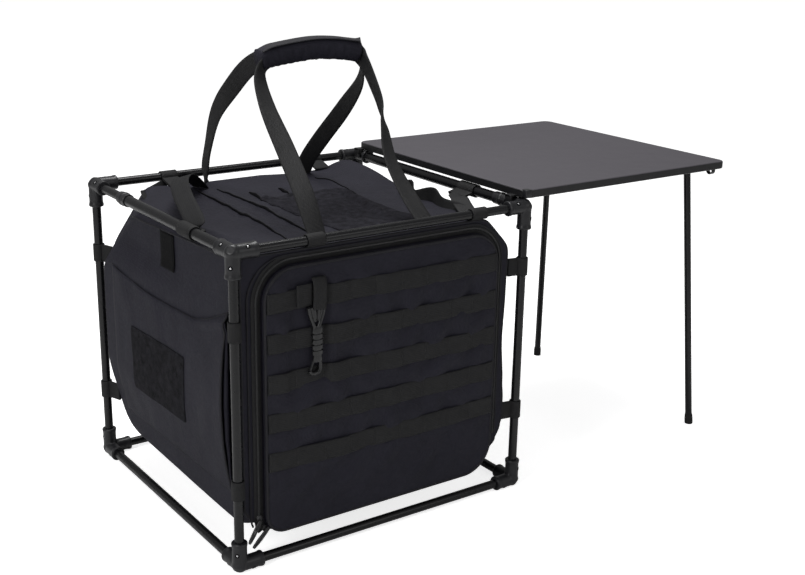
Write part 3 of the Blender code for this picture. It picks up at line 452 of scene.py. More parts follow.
def join_swept(shape, rings, lengths, around):
    """Join rings swept along a path; a closed path has one length more than it has rings.

    The UV map holds the place around the section and the length travelled.
    """
    layer = shape.loops.layers.uv.verify()
    for index in range(len(lengths) - 1):
        here, there = rings[index], rings[(index + 1) % len(rings)]
        near, far = lengths[index], lengths[index + 1]
        for corner in range(len(here)):
            after = (corner + 1) % len(here)
            face = shape.faces.new((here[corner], here[after], there[after], there[corner]))
            left, right = around[corner], around[corner + 1]
            for loop, spot in zip(face.loops, ((left, near), (right, near), (right, far), (left, far))):
                loop[layer].uv = spot
    if len(lengths) == len(rings):
        shape.faces.new(rings[0])
        shape.faces.new(rings[-1])


def add_strap(shape, path, widths, width, thickness, offset=0.0):
    """Sweep a strap along a path of places; widths say which way its width points."""
    section = strap_section(width, thickness)
    rings = []
    for index, centre in enumerate(path):
        ahead = heading(path, index)
        side = widths[index] - ahead * widths[index].dot(ahead)
        side.normalize()
        up = side.cross(ahead)
        rings.append([shape.verts.new(centre + side * a + up * b) for a, b in section])
    around = [across for across, lift in section]
    join_swept(shape, rings, travelled(path, start=offset), around + around[:1])


def make_strap(name, rows, width, thickness, count=40, material=WEBBING):
    """A strap through rows of (place, width direction) given in frame coordinates."""
    shape = bmesh.new()
    path, widths = [], []
    for row in smooth_points(rows, count):
        path.append(place(row[0], row[1], row[2]))
        widths.append(Vector(row[3:6]))
    add_strap(shape, path, widths, width, thickness)
    return make_object(name, shape, material)


def add_tube(shape, path, radius, sides=10, closed=False):
    """Sweep a round tube along a path of places; radius is a number or a function of the share passed."""
    rings = []
    for index, centre in enumerate(path):
        ahead = heading(path, index, closed)
        helper = Vector((0, 1, 0)) if abs(ahead.y) < 0.9 else Vector((1, 0, 0))
        side = ahead.cross(helper).normalized()
        up = side.cross(ahead)
        size = radius(index / max(1, len(path) - 1)) if callable(radius) else radius
        ring = []
        for angle in angles(sides):
            spot = side * math.cos(angle) + up * math.sin(angle)
            ring.append(shape.verts.new(centre + spot * size))
        rings.append(ring)
    around = [corner / sides for corner in range(sides + 1)]
    join_swept(shape, rings, travelled(path, closed), around)


def cord_piece(name, path, radius, material, body="framed_bag", sides=8, closed=False):
    """A round cord or piping along a path of places."""
    shape = bmesh.new()
    add_tube(shape, path, radius, sides, closed)
    add_piece(name, shape, material, body)


def add_lathe(shape, profile, centre, direction, steps=48, closed=False):
    """Turn a profile of (radius, travel) points about a line."""
    direction = Vector(direction).normalized()
    turn = direction.to_track_quat("Z", "Y")
    rings = []
    for radius, travel in profile:
        if radius < 1e-6:
            rings.append([shape.verts.new(Vector(centre) + direction * travel)])
            continue
        ring = []
        for angle in angles(steps):
            spot = turn @ Vector((radius * math.cos(angle), radius * math.sin(angle), travel))
            ring.append(shape.verts.new(Vector(centre) + spot))
        rings.append(ring)
    pairs = list(zip(rings, rings[1:]))
    if closed:
        pairs.append((rings[-1], rings[0]))
    for first, second in pairs:
        for step in range(steps):
            after = (step + 1) % steps
            corners = [first[step % len(first)], first[after % len(first)]]
            corners += [second[after % len(second)], second[step % len(second)]]
            unique = list(dict.fromkeys(corners))
            if len(unique) > 2:
                shape.faces.new(unique)


def add_slab(shape, outline, low, high, soft=0.0005, flat_margin=0.0):
    """A slab from an outline of (x, y) places, with softened edges and a flat rim inside them."""
    centre = Vector((sum(p[0] for p in outline) / len(outline), sum(p[1] for p in outline) / len(outline)))
    levels = [(low, soft), (low + soft * 0.3, soft * 0.3), (low + soft, 0)]
    levels += [(high - soft, 0), (high - soft * 0.3, soft * 0.3), (high, soft)]
    if flat_margin:
        levels = [(low, soft + flat_margin), *levels, (high, soft + flat_margin)]
    rings = []
    for height, drawn_in in levels:
        ring = []
        for x, y in outline:
            away = Vector((x, y)) - centre
            shorter = away * (1 - drawn_in / away.length)
            ring.append(place(centre.x + shorter.x, centre.y + shorter.y, height))
        rings.append(ring)
    skin_rings(shape, rings, cap_first=True)


def rounded_outline(low, high, radii, corner_steps=CORNER_STEPS, side_steps=SIDE_STEPS):
    """Points round a rectangle with four corner radii, always the same number of them."""
    corners = (
        (low[0] + radii[0], low[1] + radii[0], 180),
        (high[0] - radii[1], low[1] + radii[1], 270),
        (high[0] - radii[2], high[1] - radii[2], 0),
        (low[0] + radii[3], high[1] - radii[3], 90),
    )
    arcs = []
    for (x, y, start), radius in zip(corners, radii):
        arc = []
        for step in range(corner_steps + 1):
            angle = math.radians(start + 90 * step / corner_steps)
            arc.append((x + radius * math.cos(angle), y + radius * math.sin(angle)))
        arcs.append(arc)
    points = []
    for index, arc in enumerate(arcs):
        following = arcs[(index + 1) % 4][0]
        points += arc
        for step in range(1, side_steps):
            share = step / side_steps
            points.append((mix(arc[-1][0], following[0], share), mix(arc[-1][1], following[1], share)))
    return points


def skin_rings(shape, rings, cap_first=False):
    """Join rings of the same number of places into a surface that is capped at its last ring."""
    rows = [[shape.verts.new(spot) for spot in ring] for ring in rings]
    for first, second in zip(rows, rows[1:]):
        join_rows(shape, first, second)
    shape.faces.new(rows[-1])
    if cap_first:
        shape.faces.new(rows[0])


def thicken(piece, thickness, offset=0):
    """Give a sheet its thickness, about its middle or inwards at offset -1."""
    skin = piece.modifiers.new("skin", "SOLIDIFY")
    skin.thickness = thickness
    skin.offset = offset


def upright_ring(section, depth):
    """The outline of a section as (x, y, z) places at a depth."""
    return [(x, depth, z) for x, z in rounded_outline(*section)]


def patch_rings(low, high, side_steps, levels):
    """Rings of (across, along, lift) for a sewn patch, drawn in by a share at each lift."""
    outline = rounded_outline(low, high, (0.004,) * 4, 4, side_steps)
    middle = ((low[0] + high[0]) / 2, (low[1] + high[1]) / 2)
    rings = []
    for share, lift in levels:
        rings.append([(mix(x, middle[0], share), mix(y, middle[1], share), lift) for x, y in outline])
    return rings


# Tube frame


def tube_piece(node):
    """A round anodised tube with softened ends in place of a faceted one."""
    low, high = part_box(node)
    size = high - low
    axis = max(range(3), key=lambda index: size[index])
    radius = min(size) / 2
    middle = (low + high) / 2
    start, end = middle.copy(), middle.copy()
    start[axis], end[axis] = low[axis], high[axis]
    length = size[axis]
    wall = 0.001
    soft = 0.0003
    profile = (
        (radius - wall, 0),
        (radius - soft, 0),
        (radius, soft),
        (radius, length - soft),
        (radius - soft, length),
        (radius - wall, length),
    )
    shape = bmesh.new()
    add_lathe(shape, profile, start, end - start, closed=True)
    add_piece(f"{node}_tube", shape, TUBE_METAL, nodes=(node,), crisp=CRISP)


def tube_pieces():
    """Every straight tube of the frame."""
    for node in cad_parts:
        if node.startswith(("post_front", "post_back", "rail_top", "rail_bottom")):
            tube_piece(node)


def corner_blank():
    """One moulded corner fitting with sockets along +X, +Y and +Z, as a smooth mesh."""
    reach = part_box("corner_top_front_left")[1].x - ORIGIN.x
    barrel, rim = 0.0094, 0.0103
    profile = (
        (0, 0),
        (barrel, 0),
        (barrel, reach - 0.0065),
        (rim - 0.0002, reach - 0.0035),
        (rim, reach - 0.0015),
        (rim - 0.0006, reach),
        (0, reach),
    )
    shape = bmesh.new()
    axes = (Vector((1, 0, 0)), Vector((0, 1, 0)), Vector((0, 0, 1)))
    for axis in axes:
        add_lathe(shape, profile, (0, 0, 0), axis)
    ball = bmesh.ops.create_icosphere(shape, subdivisions=4, radius=0.0102)["verts"]
    flat = Vector((-1, -1, -1)).normalized()
    for vertex in ball:
        beyond = vertex.co.dot(flat) - 0.0088
        if beyond > 0:
            vertex.co -= flat * beyond
    web, thick = 0.0195, 0.0042
    for first, second in ((0, 1), (1, 2), (2, 0)):
        normal = axes[first].cross(axes[second]) * thick
        corners = (Vector((0, 0, 0)), axes[first] * web, axes[second] * web)
        lower = [shape.verts.new(corner - normal) for corner in corners]
        upper = [shape.verts.new(corner + normal) for corner in corners]
        shape.faces.new(lower[::-1])
        shape.faces.new(upper)
        join_rows(shape, lower, upper)
    blank = make_object("corner_blank", shape, NYLON)
    remesh = blank.modifiers.new("remesh", "REMESH")
    remesh.mode = "VOXEL"
    remesh.voxel_size = 0.0008
    settle = blank.modifiers.new("settle", "SMOOTH")
    settle.iterations = 4
    bpy.context.view_layer.update()
    solid = blank.evaluated_get(bpy.context.evaluated_depsgraph_get())
    mesh = bpy.data.meshes.new_from_object(solid)
    bpy.data.objects.remove(blank)
    for polygon in mesh.polygons:
        polygon.use_smooth = True
    return mesh


def frame_corners():
    """The frame's eight corners: node, world place and which way the frame lies from it."""
    for level, z, up in (("bottom", 0, 1), ("top", HEIGHT, -1)):
        for end, y, back in (("front", 0, 1), ("back", DEPTH, -1)):
            for side, x, right in (("left", 0, 1), ("right", WIDTH, -1)):
                yield f"corner_{level}_{end}_{side}", place(x, y, z), Vector((right, back, up))


def corner_pieces():
    """The eight fittings, turned so that their sockets point along their tubes."""
    blank = corner_blank()
    for node, corner, inward in frame_corners():
        mesh = blank.copy()
        mesh.transform(Matrix.Diagonal((*inward, 1)))
        mesh.transform(Matrix.Translation(corner))
        if inward.x * inward.y * inward.z < 0:
            mesh.flip_normals()
        for vertex in mesh.vertices:
            vertex.co.z = max(vertex.co.z, 0.0)
        mesh.materials.clear()
        mesh.materials.append(NYLON)
        piece = bpy.data.objects.new(f"{node}_moulding", mesh)
        bpy.context.scene.collection.objects.link(piece)
        set_up(piece, nodes=(node,))


def frame_screws():
    """A small pan-head screw on every socket, facing outwards, ringed by painted shade where it sits in its
    recess.
    """
    shape = bmesh.new()
    dark = bmesh.new()
    head = 0.0015
    around = head + 0.0012
    from_corner, from_tube_line = 0.0165, 0.0093
    pan_head = ((0, 0.0008), (head * 0.55, 0.0007), (head, 0.0003), (head, -0.001), (0, -0.001))
    # The recess round each head is a dark ring of painted shade.
    recess = ((around, -0.001), (around, 0.0004), (head, 0.0005), (head, -0.001))
    for node, corner, inward in frame_corners():
        for axis in range(3):
            out = -inward
            out[axis] = 0
            out.normalize()
            along = Vector((0, 0, 0))
            along[axis] = inward[axis]
            spot = corner + along * from_corner + out * from_tube_line
            add_lathe(shape, pan_head, spot, out, 16)
            add_lathe(dark, recess, spot, out, 20, closed=True)
    add_piece("frame_screws", shape, SCREW_METAL)
    add_piece("screw_recess_painted_shade", dark, GAP_SHADE)


def collar_piece(side, body):
    """A twist collar with a gripping flange and shallow flutes."""
    node = f"rail_collar_{side}"
    low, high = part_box(node)
    middle = (low + high) / 2
    half = (high.y - low.y) / 2
    outer = (high.x - low.x) / 2
    inner = TUBE_RADIUS + 0.0004
    throat = SLEEVE_RADIUS + 0.0003
    way = 1 if side == "left" else -1
    body_radius = outer - 0.0007
    profile = (
        (throat, -half),
        (body_radius - 0.0005, -half),
        (body_radius, -half + 0.0005),
        (body_radius, -0.0035),
        (outer - 0.0003, -0.003),
        (outer, -0.002),
        (outer, 0.002),
        (outer - 0.0003, 0.003),
        (body_radius, 0.0035),
        (body_radius, half - 0.005),
        (body_radius - 0.0005, half - 0.001),
        (body_radius - 0.0008, half),
        (inner, half),
        (inner, 0.0),
        (throat, 0.0),
    )
    shape = bmesh.new()
    add_lathe(shape, profile, middle, (0, way, 0), 72, closed=True)
    for vertex in shape.verts:
        away = Vector((vertex.co.x - middle.x, 0, vertex.co.z - middle.z))
        travel = abs(vertex.co.y - middle.y)
        if away.length > throat + 0.0003 and 0.004 < travel < half - 0.002:
            angle = math.atan2(away.z, away.x)
            flute = 0.0002 * (1 + math.cos(18 * angle)) / 2
            vertex.co -= away.normalized() * flute
    add_piece(f"{side}_collar", shape, NYLON, body, (node,), crisp=CRISP)


# Bag

# Corners that the cloth doesn't fill: corner, lengths cut off along x, y and z, softness
CORNER_CUTS = (
    ((BAG_LEFT, BAG_BACK, BAG_TOP), (0.058, 0.112, 0.084), 0.005),
    ((BAG_LEFT, BAG_BACK, BAG_BOTTOM), (0.026, 0.050, 0.044), 0.012),
    ((BAG_RIGHT, BAG_BACK, BAG_TOP), (0.010, 0.012, 0.010), 0.004),
    ((BAG_RIGHT, BAG_BACK, BAG_BOTTOM), (0.050, 0.090, 0.070), 0.022),
    ((BAG_RIGHT, BAG_FRONT, BAG_TOP), (0.043, 0.360, 0.046), 0.006),
)
# How far the right-hand front edge is drawn in, as (height, amount)
RIGHT_EDGE = (
    (BAG_BOTTOM, 0.022),
    (0.068, 0.012),
    (0.089, 0.004),
    (0.103, 0.0),
    (0.129, 0.001),
    (0.153, 0.003),
    (0.216, 0.007),
    (0.287, 0.0045),
    (0.345, 0.0025),
)


def bag_section(depth):
    """Low corner, high corner and corner radii of the bag's section at a depth."""
    back = blend_step(0.05, 0.30, depth)
    top_right = mix(0.022, 0.009, blend_step(0.25, 0.33, depth))
    radii = (mix(0.022, 0.028, back), mix(0.030, 0.046, back), top_right, mix(0.008, 0.016, back))
    return (BAG_LEFT, BAG_BOTTOM), (BAG_RIGHT, BAG_TOP), radii


def cut_corner(spot, corner, lengths, softness):
    """Press a place behind the plane that cuts a corner off at three lengths."""
    outward = Vector([math.copysign(1 / lengths[i], corner[i] - BAG_MIDDLE[i]) for i in range(3)])
    outward.normalize()
    anchor = Vector(corner)
    anchor.x -= math.copysign(lengths[0], outward.x)
    beyond = (spot - anchor).dot(outward)
    return spot - outward * (beyond + math.hypot(beyond, softness)) / 2


def right_edge(height):
    """How far the bag's right-hand front edge is drawn in at a height, between its loops."""
    for (low, below), (high, above) in zip(RIGHT_EDGE, RIGHT_EDGE[1:]):
        if height < high:
            return mix(below, above, blend_step(low, high, height))
    return RIGHT_EDGE[-1][1]


def left_bulge(depth, height):
    """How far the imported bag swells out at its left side, most of all at the back."""
    most = 0.0135
    swell = blend_step(0.070, 0.160, height) * blend_step(0.345, 0.30, height)
    return most * swell * blend_step(0.04, 0.34, depth)


def rise_and_fall(low, high, value):
    """0 at both ends of a span and 1 in its middle."""
    return math.sin(math.pi * min(1.0, max(0.0, (value - low) / (high - low))))


def bell(offset, width):
    """A soft bump: 1 at no offset, falling to nothing beyond its width."""
    return math.exp(-((offset / width) ** 2))


def bag_sag(x, y, z):
    """Where the cloth really hangs: cut-off corners, a dipped lid, a drawn-in edge and ripples."""
    spot = Vector((x, y, z))
    across = rise_and_fall(BAG_LEFT, BAG_RIGHT, x)
    along = rise_and_fall(BAG_FRONT, BAG_BACK, y)
    up = rise_and_fall(BAG_BOTTOM, BAG_TOP, z)
    on_lid = blend_step(BAG_TOP - 0.006, BAG_TOP - 0.001, z)
    on_left = blend_step(BAG_LEFT + 0.004, BAG_LEFT, x)
    on_right = blend_step(BAG_RIGHT - 0.004, BAG_RIGHT, x)
    on_back = blend_step(BAG_BACK - 0.004, BAG_BACK, y)
    on_floor = blend_step(BAG_BOTTOM + 0.004, BAG_BOTTOM, z)
    # Each wall hangs, swells or is drawn in on its own
    if on_lid > 0:
        spot.z += on_lid * lid_relief(x, y, across, along)
    if on_left > 0:
        spot.x += on_left * along * up * 0.0016 * (1 + ripple(x, y * 1.6, z * 0.6, 0.06, 1.0))
        spot.x -= on_left * left_bulge(y, z)
    if on_right > 0:
        spot.x -= on_right * along * up * 0.003 * (1 + ripple(x, y, z, 0.08, 5.0))
    if on_back > 0:
        spot.y -= on_back * up * across * 0.004 * (1 + ripple(x, y, z, 0.09, 7.0))
    if on_floor > 0:
        spot.z += on_floor * across * 0.001 * (1 + ripple(x, y, z, 0.08, 9.0))
    # The floor's two front corners are drawn up, and the right-hand front edge is drawn in
    near_front = blend_step(0.30, 0.0, y)
    low_down = blend_step(0.08, 0.045, z)
    left_corner_rise, right_corner_rise = 0.019, 0.011
    spot.z += left_corner_rise * blend_step(0.050, 0.012, x) * low_down * blend_step(0.035, 0.005, y)
    spot.z += right_corner_rise * blend_step(0.31, 0.38, x) * low_down * blend_step(0.15, 0.05, y)
    spot.x -= right_edge(z) * blend_step(0.33, BAG_RIGHT, x) * near_front
    for corner, lengths, softness in CORNER_CUTS:
        spot = cut_corner(spot, corner, lengths, softness)
    return spot


# Sewn slits in the lid: name, places from back to front and how far each one opens at most
LID_SLITS = (
    ("lid_slit_left", ((0.123, 0.342), (0.117, 0.24), (0.110, 0.14), (0.101, 0.055)), 0.0022),
    ("lid_slit_middle", ((0.151, 0.336), (0.152, 0.25), (0.147, 0.15), (0.140, 0.067)), 0.0026),
    ("lid_slit_short", ((0.1825, 0.299), (0.1805, 0.275), (0.177, 0.252)), 0.0040),
    ("lid_slit_back", ((0.233, 0.305), (0.230, 0.284), (0.226, 0.262)), 0.0032),
    ("lid_seam_right", ((0.314, 0.337), (0.312, 0.26), (0.296, 0.16), (0.262, 0.059)), 0.0008),
)
# Low and high corners of the two loop-pile patches, on the lid and on the side
LID_PATCH = ((0.178, 0.035), (0.302, 0.262))
SIDE_PATCH = ((0.140, 0.137), (0.292, 0.228))
# The cloth folds along every slit, and once more near the left edge
LID_FOLDS = [(points[0], points[-1]) for name, points, widest in LID_SLITS]
LID_FOLDS.append(((0.022, 0.150), (0.036, 0.075)))


def lid_relief(x, y, across, along):
    """Height of the lid's cloth above flat: a dip, ripples, lifted lips beside the slits and a bulge."""
    # The dip and the ripples of the whole lid
    relief = -0.0034 * across * along
    relief -= 0.0016 * across * along * (1 + ripple(x * 1.5 + y * 0.5, y, 0, 0.045, 3.0))
    relief += 0.0024 * across * along * ripple(x * 1.4 - y * 0.5, y * 1.2 + x * 0.6, 0, 0.026, 8.0)
    # The corners at the back rise, and the cloth sinks between them and along the right edge
    relief += 0.0035 * blend_step(0.12, 0.06, x) * blend_step(0.30, 0.36, y)
    relief += 0.0095 * blend_step(0.350, 0.405, x) * blend_step(0.23, 0.34, y)
    relief -= 0.0030 * rise_and_fall(0.25, 0.38, x) * blend_step(0.30, 0.37, y)
    relief -= 0.0020 * blend_step(0.36, BAG_RIGHT, x) * blend_step(0.30, 0.2, y)
    for (x_back, y_back), (x_front, y_front) in LID_FOLDS:
        share = (y - y_front) / (y_back - y_front)
        if 0 < share < 1:
            strength = math.sin(math.pi * share) ** 0.4
            aside = x - mix(x_front, x_back, share)
            relief += strength * 0.0046 * bell(aside - 0.0085, 0.0075)
            relief -= strength * 0.0016 * bell(aside + 0.0025, 0.0060)
    return relief


def doorway():
    """Low corner, high corner and corner radii of the doorway behind the door."""
    border, sill = 0.040, 0.020
    low = (BAG_LEFT + border, BAG_BOTTOM + sill)
    high = (BAG_RIGHT - border, BAG_TOP - border)
    return low, high, (sill, sill, border, border)


def between(first, second, share):
    """A section part of the way between two."""
    low = [mix(a, b, share) for a, b in zip(first[0], second[0])]
    high = [mix(a, b, share) for a, b in zip(first[1], second[1])]
    radii = [mix(a, b, share) for a, b in zip(first[2], second[2])]
    return low, high, radii


def inset(section, amount):
    """A section drawn inwards by an amount."""
    low, high, radii = section
    low = [value + amount for value in low]
    high = [value - amount for value in high]
    return low, high, [max(0.004, radius - amount) for radius in radii]


BACK_ROUND = 0.008


def bag_shell():
    """The whole sewn bag as one sagging skin with an open doorway at the front."""
    front, last = bag_section(0), bag_section(BAG_BACK)
    rings = []
    for share in (0.0, 0.25, 0.5, 0.75, 0.9):
        section = between(doorway(), inset(front, 0.004), share)
        rings.append(upright_ring(section, BAG_FRONT + 0.0006))
    for amount, push in ((0.004, 0.0004), (0.0018, 0.0002), (0.0006, 0.0008), (0.0, 0.0022)):
        rings.append(upright_ring(inset(front, amount), BAG_FRONT + push))
    start, stop = BAG_FRONT + 0.006, BAG_BACK - BACK_ROUND
    steps = 116
    for step in range(steps):
        depth = mix(start, stop, step / (steps - 1))
        rings.append(upright_ring(bag_section(depth), depth))
    for angle in range(15, 91, 15):
        turn = math.radians(angle)
        section = inset(last, BACK_ROUND * (1 - math.cos(turn)))
        rings.append(upright_ring(section, stop + BACK_ROUND * math.sin(turn)))
    rim = rounded_outline(*inset(last, BACK_ROUND))
    for step in range(1, 16):
        share = step / 15.5
        rings.append([(mix(x, BAG_MIDDLE.x, share), BAG_BACK, mix(z, BAG_MIDDLE.z, share)) for x, z in rim])
    shape = bmesh.new()
    skin_rings(shape, [[ORIGIN + bag_sag(*spot) for spot in ring] for ring in rings])
    piece = make_object("bag_shell", shape, CANVAS)
    thicken(piece, SKIN_THICKNESS, -1)
    set_up(piece, nodes=("bag_wrap", "bag_back", "bag_front_border", "bag_lid"))


ROWS_LEFT, ROWS_RIGHT = DOOR_LOW.x + 0.003, DOOR_HIGH.x - 0.003
TACK_COUNT = int((ROWS_RIGHT - ROWS_LEFT) / TACK_PITCH)
FIRST_TACK = (ROWS_LEFT + ROWS_RIGHT) / 2 - TACK_PITCH * TACK_COUNT / 2


def behind_clip(x, z):
    """How far the hanging clip presses a place on the door flat, from 0 to 1."""
    aside = x - CLIP_MIDDLE.x
    across = blend_step(-0.042, -0.030, aside) * blend_step(0.024, 0.012, aside)
    below = blend_step(CLIP_LOW.z - 0.012, CLIP_LOW.z, z)
    above = blend_step(CLIP_HIGH.z + 0.045, CLIP_HIGH.z + 0.030, z)
    return across * below * above


def door_surface(x, z):
    """How far the door's padded face stands at a place, as a depth."""
    edge = min(x - DOOR_LOW.x, DOOR_HIGH.x - x, z - DOOR_LOW.z, DOOR_HIGH.z - z)
    inside = blend_step(0.004, 0.03, edge)
    base = DOOR_LOW.y + 0.0014
    crown = 0.0022 * blend_step(0, 0.07, edge)
    # Padding puffs out between the rows of webbing, most of all between two bar tacks
    rows_from_top = (DOOR_HIGH.z - TOP_ROW_DROP - z) / ROW_PITCH
    on_rows = blend_step(-0.6, -0.2, rows_from_top) * blend_step(4.6, 4.2, rows_from_top)
    between_rows = (1 - math.cos(2 * math.pi * rows_from_top)) / 2 * on_rows
    between_tacks = (1 - math.cos(2 * math.pi * (x - FIRST_TACK) / TACK_PITCH)) / 2
    puff = 0.0008 + 0.0030 * between_tacks * (1 + ripple(x, 0.0, z, 0.03, 21.0))
    # Long folds slant down to the left, and rounder ones lie over them
    along, aside = x * 0.77 + z * 0.64, z * 0.77 - x * 0.64
    folds = 0.0036 * ripple(along * 0.35, 0.0, aside, 0.022, 2.0)
    folds += 0.0030 * ripple(x, 0.0, z * 1.4, 0.040, 9.0)
    full = base - crown - between_rows * puff - folds * inside
    pressed_flat = DOOR_LOW.y + 0.0032
    return mix(full, pressed_flat, behind_clip(x, z))


def door_section(amount):
    """The door's outline drawn inwards."""
    low, high = (DOOR_LOW.x, DOOR_LOW.z + 0.0012), (DOOR_HIGH.x, DOOR_HIGH.z)
    return inset((low, high, (0.026, 0.044, 0.042, 0.042)), amount)


def door_ring(amount, share=1.0):
    """The door's outline drawn in by an amount, a share of the way from its back to its face."""
    ring = []
    for x, z in rounded_outline(*door_section(amount)):
        ring.append(place(x, mix(DOOR_HIGH.y, door_surface(x, z), share), z))
    return ring


def door_pad():
    """The padded door panel."""
    back = DOOR_HIGH.y
    middle = (DOOR_LOW + DOOR_HIGH) / 2
    edge = rounded_outline(*door_section(0))
    rings = [[place(mix(x, middle.x, 0.97), back, mix(z, middle.z, 0.97)) for x, z in edge]]
    rings.append([place(x, back, z) for x, z in rounded_outline(*door_section(0.002))])
    rings.append([place(x, back - 0.001, z) for x, z in edge])
    for amount, share in ((0.0, 0.55), (0.0008, 0.82), (0.0025, 0.96)):
        rings.append(door_ring(amount, share))
    for step in range(DOOR_RINGS):
        rings.append(door_ring(0.005 + 0.0058 * step))
    shape = bmesh.new()
    skin_rings(shape, rings, cap_first=True)
    piece = make_object("door_pad", shape, CANVAS)
    set_up(piece, "door", ("front_door",))


def door_rows():
    """Rows of webbing tacked across the door, with the bar tacks."""
    shape = bmesh.new()
    tacks = bmesh.new()
    half, slant = 0.0011, 0.0004
    for row in range(ROW_COUNT):
        height = DOOR_HIGH.z - TOP_ROW_DROP - row * ROW_PITCH
        path = []
        for step in range(ROW_STEPS + 1):
            x = mix(ROWS_LEFT, ROWS_RIGHT, step / ROW_STEPS)
            phase = (x - FIRST_TACK) / TACK_PITCH
            # Every span between two bar tacks has its own slack
            slack = 0.0011 * (1 + noise.noise(Vector((math.floor(phase) * 0.83 + 0.4, row * 1.37, 0.5))))
            lift = slack * abs(math.sin(math.pi * phase)) ** 0.6
            depth = door_surface(x, height) - ROW_LIFT - lift
            path.append(place(x, depth, height + 0.0006 * ripple(x, row, 0.0, 0.03)))
        upright = [Vector((0, 0, 1))] * len(path)
        add_strap(shape, path, upright, WEBBING_WIDTH, WEBBING_THICKNESS, offset=row * 0.37)
        for tack in range(TACK_COUNT + 1):
            x = FIRST_TACK + tack * TACK_PITCH
            y = door_surface(x, height) - ROW_LIFT - WEBBING_THICKNESS / 2 - 0.0001
            for thread in range(TACK_THREADS):
                z = height + WEBBING_WIDTH * (thread / (TACK_THREADS - 1) - 0.5) * 0.86
                ends = [place(x - half, y, z - slant), place(x + half, y, z + slant)]
                add_tube(tacks, ends, 0.00035, 5)
    add_piece("door_webbing_rows", shape, WEBBING, "door")
    add_piece("door_bar_tacks", tacks, STITCH, "door")


def line_round_door(left, below, right, above, radii):
    """Low corner, high corner and corner radii of a line that runs outside the door."""
    low = (DOOR_LOW.x - left, DOOR_LOW.z - below)
    high = (DOOR_HIGH.x + right, DOOR_HIGH.z + above)
    return low, high, radii


ZIP_LINE = line_round_door(0.0080, 0.0100, 0.0075, 0.0080, (0.034, 0.034, 0.049, 0.049))
OUTER_SEAM = line_round_door(0.0190, 0.0100, 0.0120, 0.0130, (0.040, 0.036, 0.054, 0.052))


def path_round_door(line, lift, left_end, right_end):
    """Places along a line round the door, over its top, between two ends above its bottom edge."""
    points = rounded_outline(*line)
    start = CORNER_STEPS + SIDE_STEPS
    kept = []
    for x, z in points[start:] + points[: CORNER_STEPS + 1]:
        if z >= DOOR_LOW.z + (right_end if x > BAG_MIDDLE.x else left_end):
            kept.append((x, z))
    return [place(x, BAG_FRONT - lift, z) for x, z in reversed(kept)]


def door_zip():
    """Piping on the door's edge, the zip tape and coil round it and an outer seam."""
    piping_depth = mix(DOOR_HIGH.y, DOOR_LOW.y, 0.72)
    path = [place(*spot) for spot in upright_ring(door_section(0.0012), piping_depth)]
    cord_piece("door_piping", path, 0.0021, CANVAS_FOLD, "door", closed=True)
    tape = bmesh.new()
    path = path_round_door(ZIP_LINE, 0.0004, 0.006, 0.048)
    widths = []
    for index in range(len(path)):
        ahead = path[min(index + 1, len(path) - 1)] - path[max(index - 1, 0)]
        widths.append(Vector((0, 1, 0)).cross(ahead).normalized())
    add_strap(tape, path, widths, 0.0125, 0.0009)
    add_piece("zip_tape", tape, WEBBING)
    path = path_round_door(ZIP_LINE, 0.0013, 0.008, 0.050)
    cord_piece("zip_coil", path, 0.0015, ZIP_COIL)
    path = path_round_door(OUTER_SEAM, 0.0002, 0.010, 0.055)
    cord_piece("zip_outer_piping", path, 0.0013, CANVAS_FOLD)


def door_hinge_cloth():
    """The strip that joins the door's bottom edge to the border."""
    left, right = DOOR_LOW.x + 0.028, DOOR_HIGH.x - 0.046
    border_side, door_side = BAG_FRONT + 0.0010, DOOR_HIGH.y - 0.0009
    edge = DOOR_LOW.z
    path = (
        (border_side, edge + 0.022),
        (border_side, edge + 0.008),
        (border_side, edge + 0.0022),
        ((border_side + door_side) / 2, edge + 0.0008),
        (door_side, edge + 0.0022),
        (door_side, edge + 0.008),
        (door_side, edge + 0.014),
    )
    rows = [((left + right) / 2, y, z, 1, 0, 0) for y, z in path]
    piece = make_strap("door_hinge_cloth", rows, right - left, 0.0003, 36, CANVAS_FOLD)
    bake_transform(piece)
    set_slot()


def bag_piping():
    """Piping along the bag's sewn edges: round the front and along the lid's two sides."""
    shape = bmesh.new()
    edge = upright_ring(inset(bag_section(0), 0.0006), BAG_FRONT + 0.0012)
    add_tube(shape, [ORIGIN + bag_sag(*spot) for spot in edge], 0.0016, 8, closed=True)
    corner = CORNER_STEPS + 1
    top_left_end = 3 * (corner + SIDE_STEPS - 1) + corner - 1
    top_right_start = 2 * (corner + SIDE_STEPS - 1)
    for index in (top_left_end, top_right_start):
        path = []
        for step in range(60):
            depth = mix(BAG_FRONT + 0.004, BAG_BACK - 0.018, step / 59)
            x, z = rounded_outline(*bag_section(depth))[index]
            path.append(ORIGIN + bag_sag(x, depth, z) + Vector((0, 0, 0.0006)))
        add_tube(shape, path, 0.0014, 8)
    edge = upright_ring(inset(bag_section(BAG_BACK), 0.004), BAG_BACK - 0.006)
    add_tube(shape, [ORIGIN + bag_sag(*spot) for spot in edge], 0.0014, 8, closed=True)
    add_piece("bag_piping", shape, CANVAS_FOLD)


def lid_height(x, y):
    """Height of the sagging lid at a place."""
    return bag_sag(x, y, BAG_TOP).z


def lid_place(x, y, lift):
    """World place a little above the sagging lid."""
    return place(x, y, lid_height(x, y) + lift)


